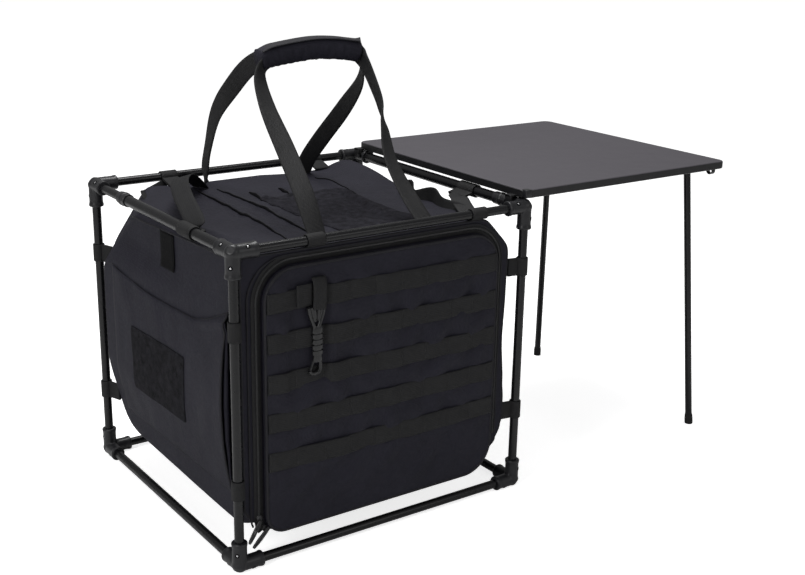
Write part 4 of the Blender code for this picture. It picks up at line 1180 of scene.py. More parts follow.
def lid_flap(name, points, widest):
    """A sewn slit in the lid: a near-black sheet of painted shade stands for the gap, which opens here and
    there below the folded lip at its right.
    """
    gap = bmesh.new()
    rows = smooth_points([(x, y, 0.0) for x, y in points], 60)
    lip_path, edges = [], []
    for index, row in enumerate(rows):
        share = index / (len(rows) - 1)
        opening = 0.5 + 0.5 * ripple(row[0] * 3, row[1], 0.0, 0.03, 11.0)
        wide = (0.0009 + widest * opening) * rise_and_fall(-0.02, 1.02, share) ** 0.4
        near_x, far_x = row[0] - 0.0004, row[0] - 0.0004 + wide
        near = gap.verts.new(lid_place(near_x, row[1], 0.0006))
        far = gap.verts.new(lid_place(far_x, row[1], 0.0009))
        edges.append((near, far))
        lip_path.append(lid_place(far_x + 0.0006, row[1], 0.0006))
    for (near, far), (next_near, next_far) in zip(edges, edges[1:]):
        gap.faces.new((near, far, next_far, next_near))
    cord_piece(f"{name}_lip", lip_path, 0.0009, CANVAS_FOLD)
    # The gap is a near-black sheet of painted shade.
    dark = make_object(f"{name}_gap", gap, GAP_SHADE)
    thicken(dark, 0.0008)
    set_up(dark)


def lid_patch():
    """The loop-pile patch sewn on the lid, with a stitched edge."""
    levels = [(0.0, 0.0001), (0.0, 0.0012), (0.02, 0.0017)]
    levels += [(0.02 + step * 0.07, 0.0017) for step in range(1, 14)]
    rings = patch_rings(*LID_PATCH, 30, levels)
    shape = bmesh.new()
    skin_rings(shape, [[lid_place(*spot) for spot in ring] for ring in rings])
    add_piece("lid_loop_patch", shape, LID_PILE)


def lid_details():
    """Slits, the arched seam and the patch on the lid."""
    for name, points, widest in LID_SLITS:
        lid_flap(name, points, widest)
    lid_patch()


# The pocket's top seam, as (depth, height)
POCKET_TOP_LINE = (
    (0.029, 0.318),
    (0.075, 0.297),
    (0.117, 0.285),
    (0.180, 0.2835),
    (0.250, 0.287),
    (0.310, 0.294),
    (0.352, 0.300),
)


def pocket_top(depth):
    """Height of the pocket's top seam at a depth."""
    for (near, low), (far, high) in zip(POCKET_TOP_LINE, POCKET_TOP_LINE[1:]):
        if depth <= far:
            return mix(low, high, max(0.0, (depth - near) / (far - near)))
    return POCKET_TOP_LINE[-1][1]


def pocket_point(along, up, bulge=1.0):
    """A place on the side pocket's cloth."""
    depth = mix(POCKET_LOW.y, POCKET_HIGH.y, along)
    height = mix(POCKET_LOW.z, pocket_top(depth), up)
    # The mouth bows out, and two folds fan out from the front top corner
    swell = 0.0128 * (1 - along) ** 1.9 * math.sin(math.pi * up) ** 0.9
    sewn = min(1.0, min(up, 1 - along) * 24)
    fold = 0.0026 * ripple(0.0, depth * 1.3, height * 0.7, 0.04, 4.0) * sewn
    below = pocket_top(POCKET_LOW.y) - 0.012 - height
    behind = depth - POCKET_LOW.y
    pull = 0.0034 * bell(behind * 0.30 - below, 0.006)
    pull += 0.0026 * bell(behind * 0.85 - below + 0.004, 0.007)
    pull *= blend_step(0.15, 0.05, depth) * sewn
    skin = bag_sag(BAG_LEFT, depth, height).x
    return skin - 0.0012 * sewn - swell * bulge + fold * 0.5 - pull, depth, height


def top_binding_radius(share):
    """The pocket's top seam is bound near its mouth and flat farther back."""
    return mix(0.0012, 0.0005, blend_step(0.1, 0.4, share))


def pleat_radius(share):
    """The pocket's inner pleat is fullest halfway up its mouth."""
    return 0.0008 + 0.0026 * math.sin(math.pi * share)


def side_pocket():
    """The pocket sheet with its open front edge, bound and bowed outwards."""
    shape = bmesh.new()
    columns, rows = 60, 44
    grid = []
    for column in range(columns + 1):
        line = []
        for row in range(rows + 1):
            line.append(shape.verts.new(place(*pocket_point(column / columns, row / rows))))
        grid.append(line)
    for column in range(columns):
        for row in range(rows):
            shape.faces.new(
                (grid[column][row], grid[column][row + 1], grid[column + 1][row + 1], grid[column + 1][row])
            )
    piece = make_object("side_pocket_cloth", shape, CANVAS)
    thicken(piece, 0.0014)
    set_up(piece, nodes=("side_pocket",))
    binding = bmesh.new()
    add_tube(binding, [place(*pocket_point(0.0, row / 40)) for row in range(41)], 0.0016, 8)
    top = [place(*pocket_point(column / 40, 1.0)) for column in range(41)]
    add_tube(binding, [spot + Vector((0.0002, 0, 0)) for spot in top], top_binding_radius, 8)
    add_piece("side_pocket_binding", binding, CANVAS_FOLD)
    path = []
    for row in range(2, 39):
        x, depth, height = pocket_point(0.0, row / 40, 0.45)
        path.append(place(x + 0.0012 * ripple(0, 0, height, 0.03, 2.0), depth - 0.0015, height))
    cord_piece("side_pocket_pleat", path, pleat_radius, CANVAS, sides=12)


def pocket_patch():
    """The loop-pile patch on the side pocket, with its sewn edge."""
    levels = [(0.0, 0.0004), (0.0, 0.0016), (0.03, 0.0019)]
    levels += [(0.03 + 0.085 * step, 0.0019) for step in range(1, 12)]
    rings = []
    for flat_ring in patch_rings(*SIDE_PATCH, 20, levels):
        ring = []
        for depth, height, lift in flat_ring:
            along = (depth - POCKET_LOW.y) / (POCKET_HIGH.y - POCKET_LOW.y)
            up = (height - POCKET_LOW.z) / (pocket_top(depth) - POCKET_LOW.z)
            ring.append(place(pocket_point(along, up)[0] - lift, depth, height))
        rings.append(ring)
    shape = bmesh.new()
    skin_rings(shape, rings)
    add_piece("side_loop_patch", shape, LOOP_PILE)


def blank_tag():
    """A bare woven tag on the left side."""
    rows = []
    depth = 0.195
    for step in range(9):
        height = BAG_TOP - mix(0.013, 0.061, step / 8)
        rows.append((bag_sag(BAG_LEFT, depth, height).x - 0.0009, depth, height, 0, 1, 0))
    set_up(make_strap("bare_tag", rows, 0.040, 0.0011, 16, TAG))


# Straps


def loop_rows(reach, radius):
    """Side view of a loop: out from the bag, round the tube and back, as (along, up) places."""
    turn = radius + 0.0004 + WEBBING_THICKNESS / 2
    lift = WEBBING_THICKNESS / 2 + 0.0001
    start = math.asin(min(0.9, lift / turn))
    outward = [(mix(reach, turn * math.cos(start) + 0.0015, step / 6), lift) for step in range(7)]
    round_tube = []
    for step in range(33):
        angle = mix(start, 2 * math.pi - start, step / 32)
        round_tube.append((turn * math.cos(angle), turn * math.sin(angle)))
    back = [(along, -up) for along, up in reversed(outward)]
    return outward + round_tube + back


def loop_piece(name, centre, axis, toward, reach, radius=TUBE_RADIUS, width=WEBBING_WIDTH, nodes=()):
    """A webbing loop round a tube, its two ends sewn together at the bag."""
    axis, toward = Vector(axis).normalized(), Vector(toward).normalized()
    side = axis.cross(toward)
    shape = bmesh.new()
    path = [centre + toward * along + side * up for along, up in loop_rows(reach, radius)]
    add_strap(shape, path, [axis] * len(path), width, WEBBING_THICKNESS)
    add_piece(name, shape, WEBBING, nodes=nodes)


def post_loop_pieces():
    """The eight loops round the posts."""
    for node in [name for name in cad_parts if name.startswith("post_loop")]:
        low, high = node_box(node)
        left = "left" in node
        x = 0 if left else WIDTH
        y = 0 if "front" in node else DEPTH
        edge_x = BAG_LEFT + 0.001 if left else BAG_RIGHT - 0.001
        edge_y = BAG_FRONT + 0.002 if y == 0 else BAG_BACK - 0.008
        toward = Vector((edge_x - x, edge_y - y, 0))
        centre = place(x, y, (low.z + high.z) / 2)
        loop_piece(f"{node}_webbing", centre, (0, 0, 1), toward, toward.length, nodes=(node,))


def rail_loop_pieces():
    """Loops on the upper front and back rails, with tails sewn to the lid."""
    for node in [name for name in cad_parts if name.startswith("rail_loop")]:
        low, high = node_box(node)
        front = "front" in node
        x = (low.x + high.x) / 2
        y = 0 if front else DEPTH
        inward = 1 if front else -1
        far = high.y if front else low.y
        tail = abs(far - y) + 0.004
        drop = HEIGHT - lid_height(x, far) - 0.001
        toward = Vector((0, inward * tail, -drop))
        centre = place(x, y, HEIGHT)
        loop_piece(f"{node}_webbing", centre, (1, 0, 0), toward, toward.length, nodes=(node,))


def side_strap_pieces():
    """The curved straps that run from the side rails over the lid; the left strap, the curled strap and the
    lid's corner strap use the webbing's painted-shade copy.
    """
    rail_left, loop_width = 0.113, 0.036
    spot = place(0, rail_left, HEIGHT)
    loop_piece("left_rail_loop", spot, (0, 1, 0), (1, 0, 0.1), 0.014, SLEEVE_RADIUS, loop_width)
    # The left strap lies in painted shade: the darker webbing copy.
    rows = (
        (0.010, rail_left, HEIGHT + 0.0005, 0, 1, 0),
        (0.0125, rail_left + 0.006, HEIGHT + 0.005, -0.45, 0.85, -0.1),
        (0.018, 0.142, HEIGHT + 0.013, -0.8, 0.55, -0.3),
        (0.030, 0.188, HEIGHT + 0.022, -0.83, 0.47, -0.3),
        (0.052, 0.246, HEIGHT + 0.027, -0.83, 0.47, -0.3),
        (0.085, 0.302, HEIGHT + 0.022, -0.75, 0.6, -0.3),
        (0.114, 0.338, HEIGHT + 0.008, -0.6, 0.78, -0.2),
        (0.136, 0.356, HEIGHT - 0.009, -0.55, 0.83, 0),
    )
    piece = make_strap("left_rail_strap", rows, 0.025, WEBBING_THICKNESS, 60, WEBBING_SHADED)
    set_up(piece, nodes=("corner_strap_left",))
    rail_right = 0.120
    spot = place(WIDTH, rail_right, HEIGHT)
    loop_piece("right_rail_loop", spot, (0, 1, 0), (-1, 0, -0.25), 0.024, SLEEVE_RADIUS, loop_width)
    rows = (
        (WIDTH - 0.012, rail_right, HEIGHT - 0.002, 0, -1, 0),
        (WIDTH - 0.026, rail_right - 0.006, HEIGHT - 0.005, 0.15, -0.98, 0),
        (0.394, 0.088, HEIGHT - 0.002, 0.5, -0.85, 0.1),
        (0.376, 0.056, HEIGHT - 0.003, 0.75, -0.6, 0.1),
        (0.366, 0.030, HEIGHT - 0.008, 0.85, -0.5, 0),
    )
    piece = make_strap("right_rail_strap", rows, 0.024, WEBBING_THICKNESS, 40)
    set_up(piece, nodes=("corner_strap_right",))
    # The curled strap on the lid lies in painted shade: the darker webbing copy.
    rows = (
        (0.362, 0.182, HEIGHT - 0.010, 0.25, 0.1, 0.95),
        (0.370, 0.170, HEIGHT + 0.001, 0.05, -0.3, 0.95),
        (0.362, 0.150, HEIGHT - 0.009, 0.2, 0.1, 0.95),
        (0.372, 0.120, HEIGHT - 0.001, 0.1, -0.2, 0.95),
        (0.364, 0.090, HEIGHT - 0.008, 0.3, 0.1, 0.92),
        (0.371, 0.060, HEIGHT - 0.010, 0.45, 0.2, 0.85),
        (0.366, 0.035, HEIGHT - 0.013, 0.85, 0.2, 0.2),
    )
    set_up(make_strap("lid_curled_strap", rows, 0.021, WEBBING_THICKNESS, 60, WEBBING_SHADED))
    # The lid's corner strap lies in painted shade: the darker webbing copy.
    corner = lid_height(0.046, 0.345)
    rows = (
        (0.104, DEPTH - 0.006, HEIGHT - 0.007, 0.5, 0.5, 0.7),
        (0.086, DEPTH - 0.014, HEIGHT - 0.011, 0.2, 0.6, 0.75),
        (0.062, DEPTH - 0.032, HEIGHT - 0.013, -0.3, 0.6, 0.75),
        (0.046, DEPTH - 0.060, corner + 0.001, -0.7, 0.5, 0.5),
        (0.041, DEPTH - 0.084, corner - 0.004, -0.8, 0.4, 0.4),
    )
    set_up(make_strap("lid_corner_strap", rows, 0.011, WEBBING_THICKNESS, 40, WEBBING_SHADED))


def handle_piece(end, rows):
    """A carry handle whose feet stay sewn to the lid."""
    piece = make_strap(f"{end}_handle_webbing", rows, WEBBING_WIDTH, HANDLE_THICKNESS, 150)
    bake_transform(piece)
    set_slot((f"handle_{end}",))


def handle_pieces():
    """The two carry handles, twisted as they run up into the grip."""
    front = (
        (0.127, 0.014, lid_height(0.127, 0.014) - 0.003, 1, 0, 0),
        (0.1265, 0.024, 0.399, 1, 0, 0),
        (0.1263, 0.054, 0.443, 0.93, -0.3, 0.2),
        (0.1314, 0.105, 0.487, 0.92, -0.25, 0.2),
        (0.1317, 0.152, 0.536, 0.97, 0.2, 0.05),
        (0.140, 0.182, 0.572, 0.80, 0.5, -0.15),
        (0.170, 0.197, 0.590, 0, 0.3, -0.95),
        (0.228, 0.197, 0.597, 0, 0.1, -1),
        (0.284, 0.197, 0.594, -0.2, 0.2, -0.95),
        (0.301, 0.189, 0.578, 0.05, 0.6, -0.8),
        (0.3045, 0.162, 0.541, 0.18, 0.73, -0.63),
        (0.3018, 0.145, 0.520, 0.3, 0.7, -0.6),
        (0.2955, 0.128, 0.500, 0.72, 0.45, -0.42),
        (0.2842, 0.095, 0.460, 0.95, 0.15, -0.25),
        (0.284, 0.045, 0.415, 1, -0.1, 0),
        (0.290, 0.014, lid_height(0.29, 0.014) - 0.003, 1, 0, 0),
    )
    handle_piece("front", front)
    back = (
        (0.153, 0.377, lid_height(0.153, 0.377) - 0.003, 0.75, 0.65, 0),
        (0.149, 0.369, 0.408, 0.15, 0.95, 0.12),
        (0.1435, 0.345, 0.4505, 0.15, 0.95, 0.15),
        (0.138, 0.307, 0.504, -0.10, 0.84, 0.5),
        (0.1415, 0.264, 0.545, -0.45, 0.62, 0.64),
        (0.149, 0.226, 0.577, -0.4, 0.62, 0.67),
        (0.170, 0.204, 0.591, 0, 0.1, 1),
        (0.228, 0.203, 0.598, 0, 0, 1),
        (0.282, 0.204, 0.596, 0, 0.1, 1),
        (0.311, 0.212, 0.577, 0.25, 0.6, 0.75),
        (0.3297, 0.240, 0.543, 0.2, 0.75, 0.6),
        (0.3295, 0.285, 0.497, -0.35, 0.72, 0.6),
        (0.322, 0.332, 0.448, -0.6, 0.6, 0.5),
        (0.316, 0.362, 0.412, -0.85, 0.4, 0.3),
        (0.315, 0.376, lid_height(0.315, 0.376) - 0.003, -1, 0.1, 0),
    )
    handle_piece("back", back)


def grip_piece():
    """The padded wrap round both handles, with its overlapping flap."""
    spine = (
        (0.1440, 0.195, 0.588),
        (0.175, 0.199, 0.593),
        (0.226, 0.200, 0.598),
        (0.268, 0.199, 0.596),
        (0.296, 0.197, 0.591),
    )
    rows = smooth_points(spine, 60)
    rings = []
    for index, row in enumerate(rows):
        up = heading(rows, index).cross(Vector((0, 1, 0)))
        pinch = 0.93 + 0.07 * math.sin(math.pi * index / 60) ** 0.35
        ring = []
        for angle in angles(36):
            tall = 0.0148 * pinch * math.copysign(abs(math.sin(angle)) ** 0.85, math.sin(angle))
            deep = 0.0125 * pinch * math.copysign(abs(math.cos(angle)) ** 0.85, math.cos(angle))
            across, up_down = math.cos(angle) * 0.010, math.sin(angle) * 0.014
            crease = 0.0011 * ripple(row[0] * 2.6, across, up_down, 0.013, 6.0)
            ring.append(ORIGIN + row + up * (tall + crease) + Vector((0, deep + crease, 0)))
        rings.append(ring)
    shape = bmesh.new()
    skin_rings(shape, rings, cap_first=True)
    piece = make_object("grip_wrap_pad", shape, CANVAS)
    set_up(piece, "front_handle", ("grip_wrap",))
    flap = []
    for row in rows[::6]:
        flap.append((row[0], row[1] - 0.0035, row[2] + 0.0138, 0, 1, 0.12))
    end = rows[-1]
    flap[0] = (rows[0][0] + 0.001, rows[0][1] - 0.002, rows[0][2] + 0.011, 0, 1, 0.12)
    flap[-1] = (end[0] - 0.003, end[1] - 0.005, end[2] + 0.0155, 0, 1, 0.1)
    flap.append((end[0] + 0.001, end[1] - 0.007, end[2] + 0.0160, 0, 1, 0.1))
    set_up(make_strap("grip_wrap_flap", flap, 0.017, 0.0021, 70, CANVAS_FOLD), "front_handle")


# Zip sliders and the key clip


SLIDER_PROFILE = (
    (0, 0.9),
    (0.0006, 1.0),
    (0.0012, 1.0),
    (0.0014, 0.8),
    (0.0022, 0.8),
    (0.0024, 1.0),
    (0.0030, 1.0),
    (0.0036, 0.88),
)
PULL_GRIP_PROFILE = (
    (0, 0),
    (0.0018, 0.0004),
    (0.0022, 0.0016),
    (0.0020, 0.0042),
    (0.0013, 0.0054),
    (0, 0.0056),
)


def slider_body(level, body):
    """A zip slider with its bridge, leaning the way the zip runs."""
    low, high = node_box(f"zip_slider_{level}")
    middle = (low + high) / 2
    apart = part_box("zip_slider_lower")[0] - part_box("zip_slider_upper")[0]
    lean = 0.0 if level == "upper" else math.atan2(apart.x, apart.z)
    turn = Matrix.Rotation(lean, 3, "Y")
    outline = []
    for angle in angles(24):
        wide = 0.0036 * (1 + 0.16 * math.sin(angle))
        outline.append(Vector((wide * math.cos(angle), 0, 0.0043 * math.sin(angle))))
    rings = []
    for depth, scale in SLIDER_PROFILE:
        centre = place(middle.x, high.y - depth, middle.z)
        rings.append([centre + turn @ (spot * scale) for spot in outline])
    shape = bmesh.new()
    skin_rings(shape, rings, cap_first=True)
    bridge = []
    for step in range(13):
        angle = math.pi * step / 12
        offset = turn @ Vector((0, 0, 0.0028 * math.cos(angle)))
        bridge.append(place(middle.x, high.y - 0.0034 - 0.0011 * math.sin(angle), middle.z) + offset)
    add_tube(shape, bridge, 0.0006, 8)
    add_piece(f"{level}_slider_body", shape, ZIP_METAL, body, (f"zip_slider_{level}",))


def pull_cord(level):
    """A moulded cord pull with a grip."""
    low, high = node_box(f"zip_pull_{level}")
    depth = (low.y + high.y) / 2
    top = Vector((high.x - 0.0018, depth, high.z - 0.0010))
    tip = Vector((low.x + 0.0004, depth, low.z - 0.0034))
    if level == "lower":
        top += Vector((0.0055, 0, 0.0020))
        tip += Vector((0.0045, 0, 0.0024))
    shape = bmesh.new()
    ahead = (tip - top).normalized()
    cross = ahead.cross(Vector((0, 1, 0)))
    for side in (-1, 1):
        path = []
        for step in range(19):
            share = step / 18
            spread = 0.0015 * rise_and_fall(-0.15, 1.25, share) + 0.0003
            path.append(ORIGIN + top.lerp(tip, share * 0.92) + cross * side * spread)
        add_tube(shape, path, 0.0014, 8)
    add_lathe(shape, PULL_GRIP_PROFILE, ORIGIN + top.lerp(tip, 0.84), ahead, 16)
    piece = make_object(f"{level}_pull_cord", shape, CLIP_PLASTIC)
    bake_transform(piece)
    set_slot((f"zip_pull_{level}",))


CLIP_RIBS = 5
CLIP_BARREL = 0.046


def clip_webbing():
    """The keeper patch and the tab of webbing that hold the snap clip to the door's top row."""
    x, y, top = CLIP_MIDDLE.x, CLIP_MIDDLE.y, CLIP_HIGH.z
    patch_y, patch_z = y + 0.0022, top + 0.014
    keeper = ((x - 0.026, patch_y, patch_z, 0, 0, 1), (x - 0.004, patch_y, patch_z, 0, 0, 1))
    set_up(make_strap("clip_keeper", keeper, 0.027, 0.0016, 8), "door")
    tab = (
        (x + 0.0045, y + 0.0036, top + 0.0335, 1, 0, 0),
        (x + 0.0045, y + 0.0006, top + 0.0315, 1, 0, 0),
        (x + 0.0045, y - 0.0016, top + 0.024, 1, 0, 0),
        (x + 0.0045, y - 0.0016, top + 0.008, 1, 0, 0),
        (x + 0.0035, y - 0.0010, top - 0.006, 1, 0, 0),
    )
    set_up(make_strap("clip_tab", tab, 0.019, 0.0026, 24), "door")


def add_clip_rod(shape, points, count):
    """A round rod of the clip through (x, z) places at the clip's depth."""
    rows = smooth_points([(x, 0.0, z) for x, z in points], count)
    add_tube(shape, [place(row[0], CLIP_MIDDLE.y, row[2]) for row in rows], 0.0024, 12)


def add_clip_barrel(shape):
    """The clip's ribbed barrel, flattened towards the door."""
    radius = 0.0072
    barrel = [(0, 0), (0.0052, 0.0), (radius - 0.0006, 0.0015)]
    for rib in range(CLIP_RIBS):
        start = 0.004 + rib * 0.0070
        barrel += [(radius, start), (radius, start + 0.0050)]
        barrel += [(radius - 0.0018, start + 0.0054), (radius - 0.0018, start + 0.0066)]
    barrel += [(radius - 0.0004, CLIP_BARREL - 0.002), (radius - 0.001, CLIP_BARREL), (0, CLIP_BARREL)]
    centre = place(CLIP_MIDDLE.x + 0.0015, CLIP_MIDDLE.y, CLIP_HIGH.z - 0.026)
    there_before = len(shape.verts)
    add_lathe(shape, barrel, centre, (0, 0, -1), 28)
    for vertex in list(shape.verts)[there_before:]:
        vertex.co.y = mix(centre.y, vertex.co.y, 0.45)


def key_clip():
    """The snap clip: a forked head, a ribbed barrel and a hook with a gate."""
    x, low_z, high_z = CLIP_MIDDLE.x, CLIP_LOW.z, CLIP_HIGH.z
    shape = bmesh.new()
    for side in (-1, 1):
        for share, length in ((1.0, 0.029), (0.66, 0.020), (0.33, 0.017)):
            prong = ((0.0110 * share, 0.002), (0.0080 * share, length * 0.5), (0.0022, length))
            add_clip_rod(shape, [(x + side * aside, high_z - drop) for aside, drop in prong], 12)
    add_clip_barrel(shape)
    hook = (
        (x + 0.0050, low_z + 0.0180),
        (x + 0.0050, low_z + 0.0090),
        (x + 0.0030, low_z + 0.0045),
        (x - 0.0030, low_z + 0.0028),
        (x - 0.0080, low_z + 0.0045),
        (x - 0.0098, low_z + 0.0075),
    )
    add_clip_rod(shape, hook, 30)
    y = CLIP_MIDDLE.y
    gate = [place(x - 0.0042, y, low_z + 0.0200), place(x - 0.0092, y, low_z + 0.0078)]
    add_tube(shape, gate, 0.0015, 10)
    add_piece("snap_clip_body", shape, CLIP_PLASTIC, "door_clip", ("key_clip",), crisp=CRISP)


# Side table


RIM_THICKNESS = 0.0065
HOOK_PLACE = 0.0195
HOOK_WIDTH = 0.0130
HOOK_REACH = 0.0142
HOOK_WALL = 0.0038


def table_outline(margin=0.0):
    """The tabletop's rounded outline."""
    low = (TABLE_LOW.x + margin, TABLE_LOW.y + margin)
    high = (TABLE_HIGH.x - margin, TABLE_HIGH.y - margin)
    return rounded_outline(low, high, (0.012 - margin,) * 4, 10, 10)


def tabletop_board():
    """The board of the tabletop."""
    shape = bmesh.new()
    add_slab(shape, table_outline(), TABLE_LOW.z, TABLE_HIGH.z, 0.0012, 0.004)
    add_piece("tabletop_board", shape, BOARD, "side_table", ("tabletop_panel",), crisp=CRISP_TABLE)


def add_hook_slab(shape, low, high, radius, bottom, top):
    """One wall of a hook, as a slab with rounded corners."""
    add_slab(shape, rounded_outline(low, high, (radius,) * 4, 3, 2), bottom, top, 0.0006)


def tabletop_rim():
    """The rim under the board's edge and the hooks over the corner fittings."""
    rim_low, rim_high = node_box("tabletop_rim")
    under = rim_high.z - RIM_THICKNESS
    profile = (
        (0.0040, rim_high.z),
        (-0.0001, rim_high.z),
        (-0.0001, TABLE_HIGH.z - 0.0009),
        (-0.0006, TABLE_HIGH.z - 0.0013),
        (-0.0006, under + 0.001),
        (0.0010, under),
        (0.0030, under),
        (0.0040, under + 0.001),
    )
    shape = bmesh.new()
    rows = []
    for margin, height in profile:
        rows.append([shape.verts.new(place(x, y, height)) for x, y in table_outline(margin)])
    for first, second in zip(rows, rows[1:] + rows[:1]):
        join_rows(shape, first, second)
    inner, outer = WIDTH - HOOK_REACH, WIDTH + HOOK_REACH
    for centre in (HOOK_PLACE, DEPTH - HOOK_PLACE):
        near, far = centre - HOOK_WIDTH / 2, centre + HOOK_WIDTH / 2
        for left in (inner, outer - HOOK_WALL):
            add_hook_slab(shape, (left, near), (left + HOOK_WALL, far), 0.001, rim_low.z, under + 0.003)
        add_hook_slab(shape, (inner, near), (outer, far), 0.002, under + 0.0002, under + 0.0028)
    name, nodes = "tabletop_edge_and_hooks", ("tabletop_rim",)
    add_piece(name, shape, BOARD_EDGE, "side_table", nodes, crisp=CRISP_TABLE)


def table_corner_cap():
    """The small moulded cap on the tabletop's front left corner."""
    shape = bmesh.new()
    low = (TABLE_LOW.x + 0.0005, TABLE_LOW.y - 0.0012)
    high = (TABLE_LOW.x + 0.0110, TABLE_LOW.y + 0.0090)
    outline = rounded_outline(low, high, (0.002,) * 4, 4, 2)
    add_slab(shape, outline, TABLE_HIGH.z - 0.0105, TABLE_HIGH.z + 0.0004, 0.0008, 0.0006)
    add_piece("table_corner_cap", shape, NYLON, "side_table", crisp=CRISP_TABLE)


LEG_RADIUS = 0.00525
LEG_SPLAY = (0.025, 0.030)
LEG_SOCKET_PROFILE = (
    (0, -0.0098),
    (0.0088, -0.0098),
    (0.0090, -0.0030),
    (0.0078, -0.0003),
    (0.0060, 0),
    (0, 0),
)
LEG_FOOT_PROFILE = (
    (0, 0.0020),
    (0.0058, 0.0020),
    (0.0064, 0),
    (0.0064, -0.0090),
    (0.0058, -0.0155),
    (0.0054, -0.0160),
    (0.0054, -0.0040),
    (0, -0.0040),
)


def leg_pieces(end, side):
    """A splayed leg with its socket, threaded collar and rubber foot."""
    low, high = node_box(f"leg_socket_{end}")
    head = place((low.x + high.x) / 2, (low.y + high.y) / 2, low.z)
    down = Vector((LEG_SPLAY[0], side * LEG_SPLAY[1], FLOOR - TABLE_LOW.z)).normalized()
    reach = (FLOOR - low.z) / down.z
    body = f"table_leg_{end}"

    shape = bmesh.new()
    add_lathe(shape, LEG_SOCKET_PROFILE, head, down, 40)
    for vertex in shape.verts:
        vertex.co.z = min(vertex.co.z, ORIGIN.z + TABLE_LOW.z - 0.0003)
    add_piece(f"{end}_leg_socket", shape, NYLON, "side_table", (f"leg_socket_{end}",), crisp=CRISP)

    shape = bmesh.new()
    radius, collar = LEG_RADIUS, LEG_RADIUS + 0.0011
    top, sole_top = 0.0004, reach - 0.004
    profile = ((0, top), (radius - 0.0005, top), (radius, 0.001), (radius, sole_top), (0, sole_top))
    add_lathe(shape, profile, head, down, 40)
    ring = ((collar - 0.0002, 0.0006), (collar, 0.0016), (collar, 0.0075))
    ring += ((radius, 0.0085), (radius, 0.0006))
    add_lathe(shape, ring, head, down, 40, closed=True)
    add_piece(f"{end}_leg_tube", shape, TUBE_METAL, body, (f"leg_{end}",), crisp=CRISP)

    shape = bmesh.new()
    add_lathe(shape, LEG_FOOT_PROFILE, head + down * reach, down, 40)
    for vertex in shape.verts:
        vertex.co.z = max(vertex.co.z, 0.0)
    add_piece(f"{end}_leg_foot", shape, RUBBER, body, (f"leg_foot_{end}",), crisp=CRISP)


def stowage_clip():
    """The small spring clip under the table's far front corner that holds a folded leg."""
    shape = bmesh.new()
    radius = 0.0052
    centre = place(TABLE_HIGH.x - 0.016, TABLE_LOW.y + 0.014, TABLE_LOW.z - 0.0109)
    arc = []
    for step in range(25):
        angle = math.radians(mix(-235, 55, step / 24))
        arc.append(centre + Vector((0, math.cos(angle), math.sin(angle))) * radius)
    add_strap(shape, arc, [Vector((1, 0, 0))] * len(arc), 0.008, 0.0012)
    add_piece("leg_stowage_clip", shape, CLIP_PLASTIC, "side_table")


# Stage, light and camera

FLOOR_GLOW = 0.76
WORLD_LIGHT = 0.28
WORLD_SEEN = 1.05


def seen_and_unseen(tree, unseen, seen, socket):
    """Feed a socket one value for what the camera sees and another for all other light."""
    path = tree.nodes.new("ShaderNodeLightPath")
    value = tree.nodes.new("ShaderNodeMapRange")
    value.inputs["To Min"].default_value = unseen
    value.inputs["To Max"].default_value = seen
    tree.links.new(path.outputs["Is Camera Ray"], value.inputs["Value"])
    tree.links.new(value.outputs["Result"], socket)


def stage_floor():
    """A plain pale floor that stays white to the camera but keeps the soft shadow."""
    shape = bmesh.new()
    bmesh.ops.create_grid(shape, x_segments=2, y_segments=2, size=9.0)
    material = new_material("studio_floor", 0.9, shine=0.0)
    shader = shader_of(material)
    shader.inputs["Base Color"].default_value = (0.9, 0.9, 0.9, 1)
    shader.inputs["Emission Color"].default_value = (1, 1, 1, 1)
    seen_and_unseen(material.node_tree, 0.0, FLOOR_GLOW, shader.inputs["Emission Strength"])
    make_object("studio_floor", shape, material)


def studio_world():
    """A white surround for the camera, much dimmer as a light."""
    world = bpy.data.worlds.new("studio")
    bpy.context.scene.world = world
    world.use_nodes = True
    background = world.node_tree.nodes["Background"]
    background.inputs["Color"].default_value = (1, 1, 1, 1)
    seen_and_unseen(world.node_tree, WORLD_LIGHT, WORLD_SEEN, background.inputs["Strength"])


def area_light(name, location, target, width, height, power):
    """A soft box aimed at a place."""
    data = bpy.data.lights.new(name, "AREA")
    data.shape = "RECTANGLE"
    data.size, data.size_y = width, height
    data.energy = power
    lamp = bpy.data.objects.new(name, data)
    lamp.location = location
    lamp.rotation_euler = (Vector(target) - Vector(location)).to_track_quat("-Z", "Y").to_euler()
    bpy.context.scene.collection.objects.link(lamp)


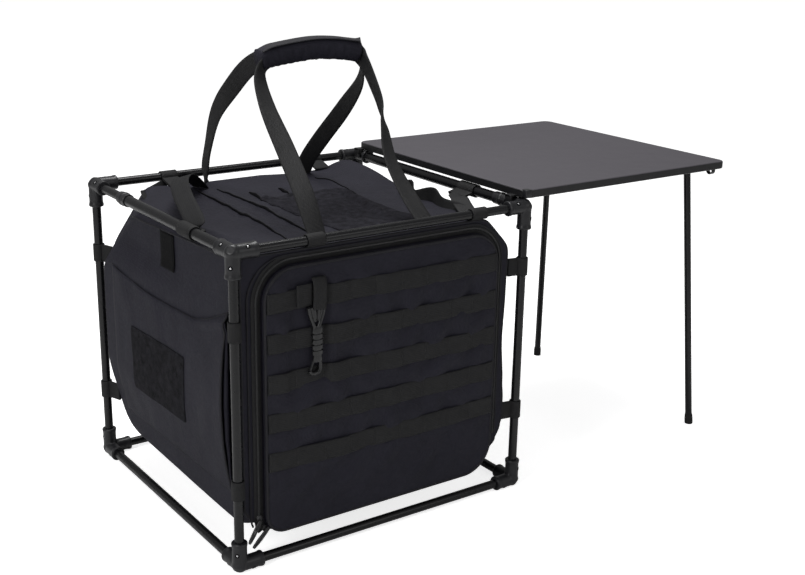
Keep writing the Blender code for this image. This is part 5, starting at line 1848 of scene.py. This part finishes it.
def studio_lights():
    """A large overhead box, a key from the left and a weaker fill from the front right."""
    target = place(0.3, 0.2, 0.2)
    area_light("overhead_box", place(0.2, 0.45, 2.0), target, 1.5, 0.7, 30)
    area_light("key_box", place(-2.2, -0.75, 1.5), target, 0.6, 1.4, 27)
    area_light("fill_box", place(1.2, -2.2, 1.2), target, 1.2, 1.0, 6)


def photo_camera():
    """The photograph's camera."""
    data = bpy.data.cameras.new("photo_camera")
    data.lens = CAMERA_LENS
    data.sensor_width = SENSOR_WIDTH
    data.clip_start = 0.01
    level = math.cos(CAMERA_PITCH)
    forward = Vector((math.sin(CAMERA_YAW) * level, math.cos(CAMERA_YAW) * level, -math.sin(CAMERA_PITCH)))
    right = forward.cross(Vector((0, 0, 1))).normalized()
    up = right.cross(forward)
    turned_right = right * math.cos(CAMERA_ROLL) + up * math.sin(CAMERA_ROLL)
    turned_up = up * math.cos(CAMERA_ROLL) - right * math.sin(CAMERA_ROLL)
    matrix = Matrix((turned_right, turned_up, -forward)).transposed().to_4x4()
    matrix.translation = place(*CAMERA_PLACE)
    camera = bpy.data.objects.new("photo_camera", data)
    camera.matrix_world = matrix
    bpy.context.scene.collection.objects.link(camera)
    bpy.context.scene.camera = camera


def build_scene():
    """Make every piece, the stage, the light and the camera."""
    tube_pieces()
    corner_pieces()
    frame_screws()
    collar_piece("left", "left_collar")
    collar_piece("right", "right_collar")
    bag_shell()
    bag_piping()
    door_pad()
    door_rows()
    door_zip()
    door_hinge_cloth()
    lid_details()
    side_pocket()
    pocket_patch()
    blank_tag()
    post_loop_pieces()
    rail_loop_pieces()
    side_strap_pieces()
    handle_pieces()
    grip_piece()
    for level in ("upper", "lower"):
        slider_body(level, f"{level}_slider")
        pull_cord(level)
    clip_webbing()
    key_clip()
    tabletop_board()
    tabletop_rim()
    table_corner_cap()
    leg_pieces("front", -1)
    leg_pieces("back", 1)
    stowage_clip()
    stage_floor()
    studio_world()
    studio_lights()
    photo_camera()
    bpy.context.scene.view_settings.view_transform = "Standard"


build_scene()
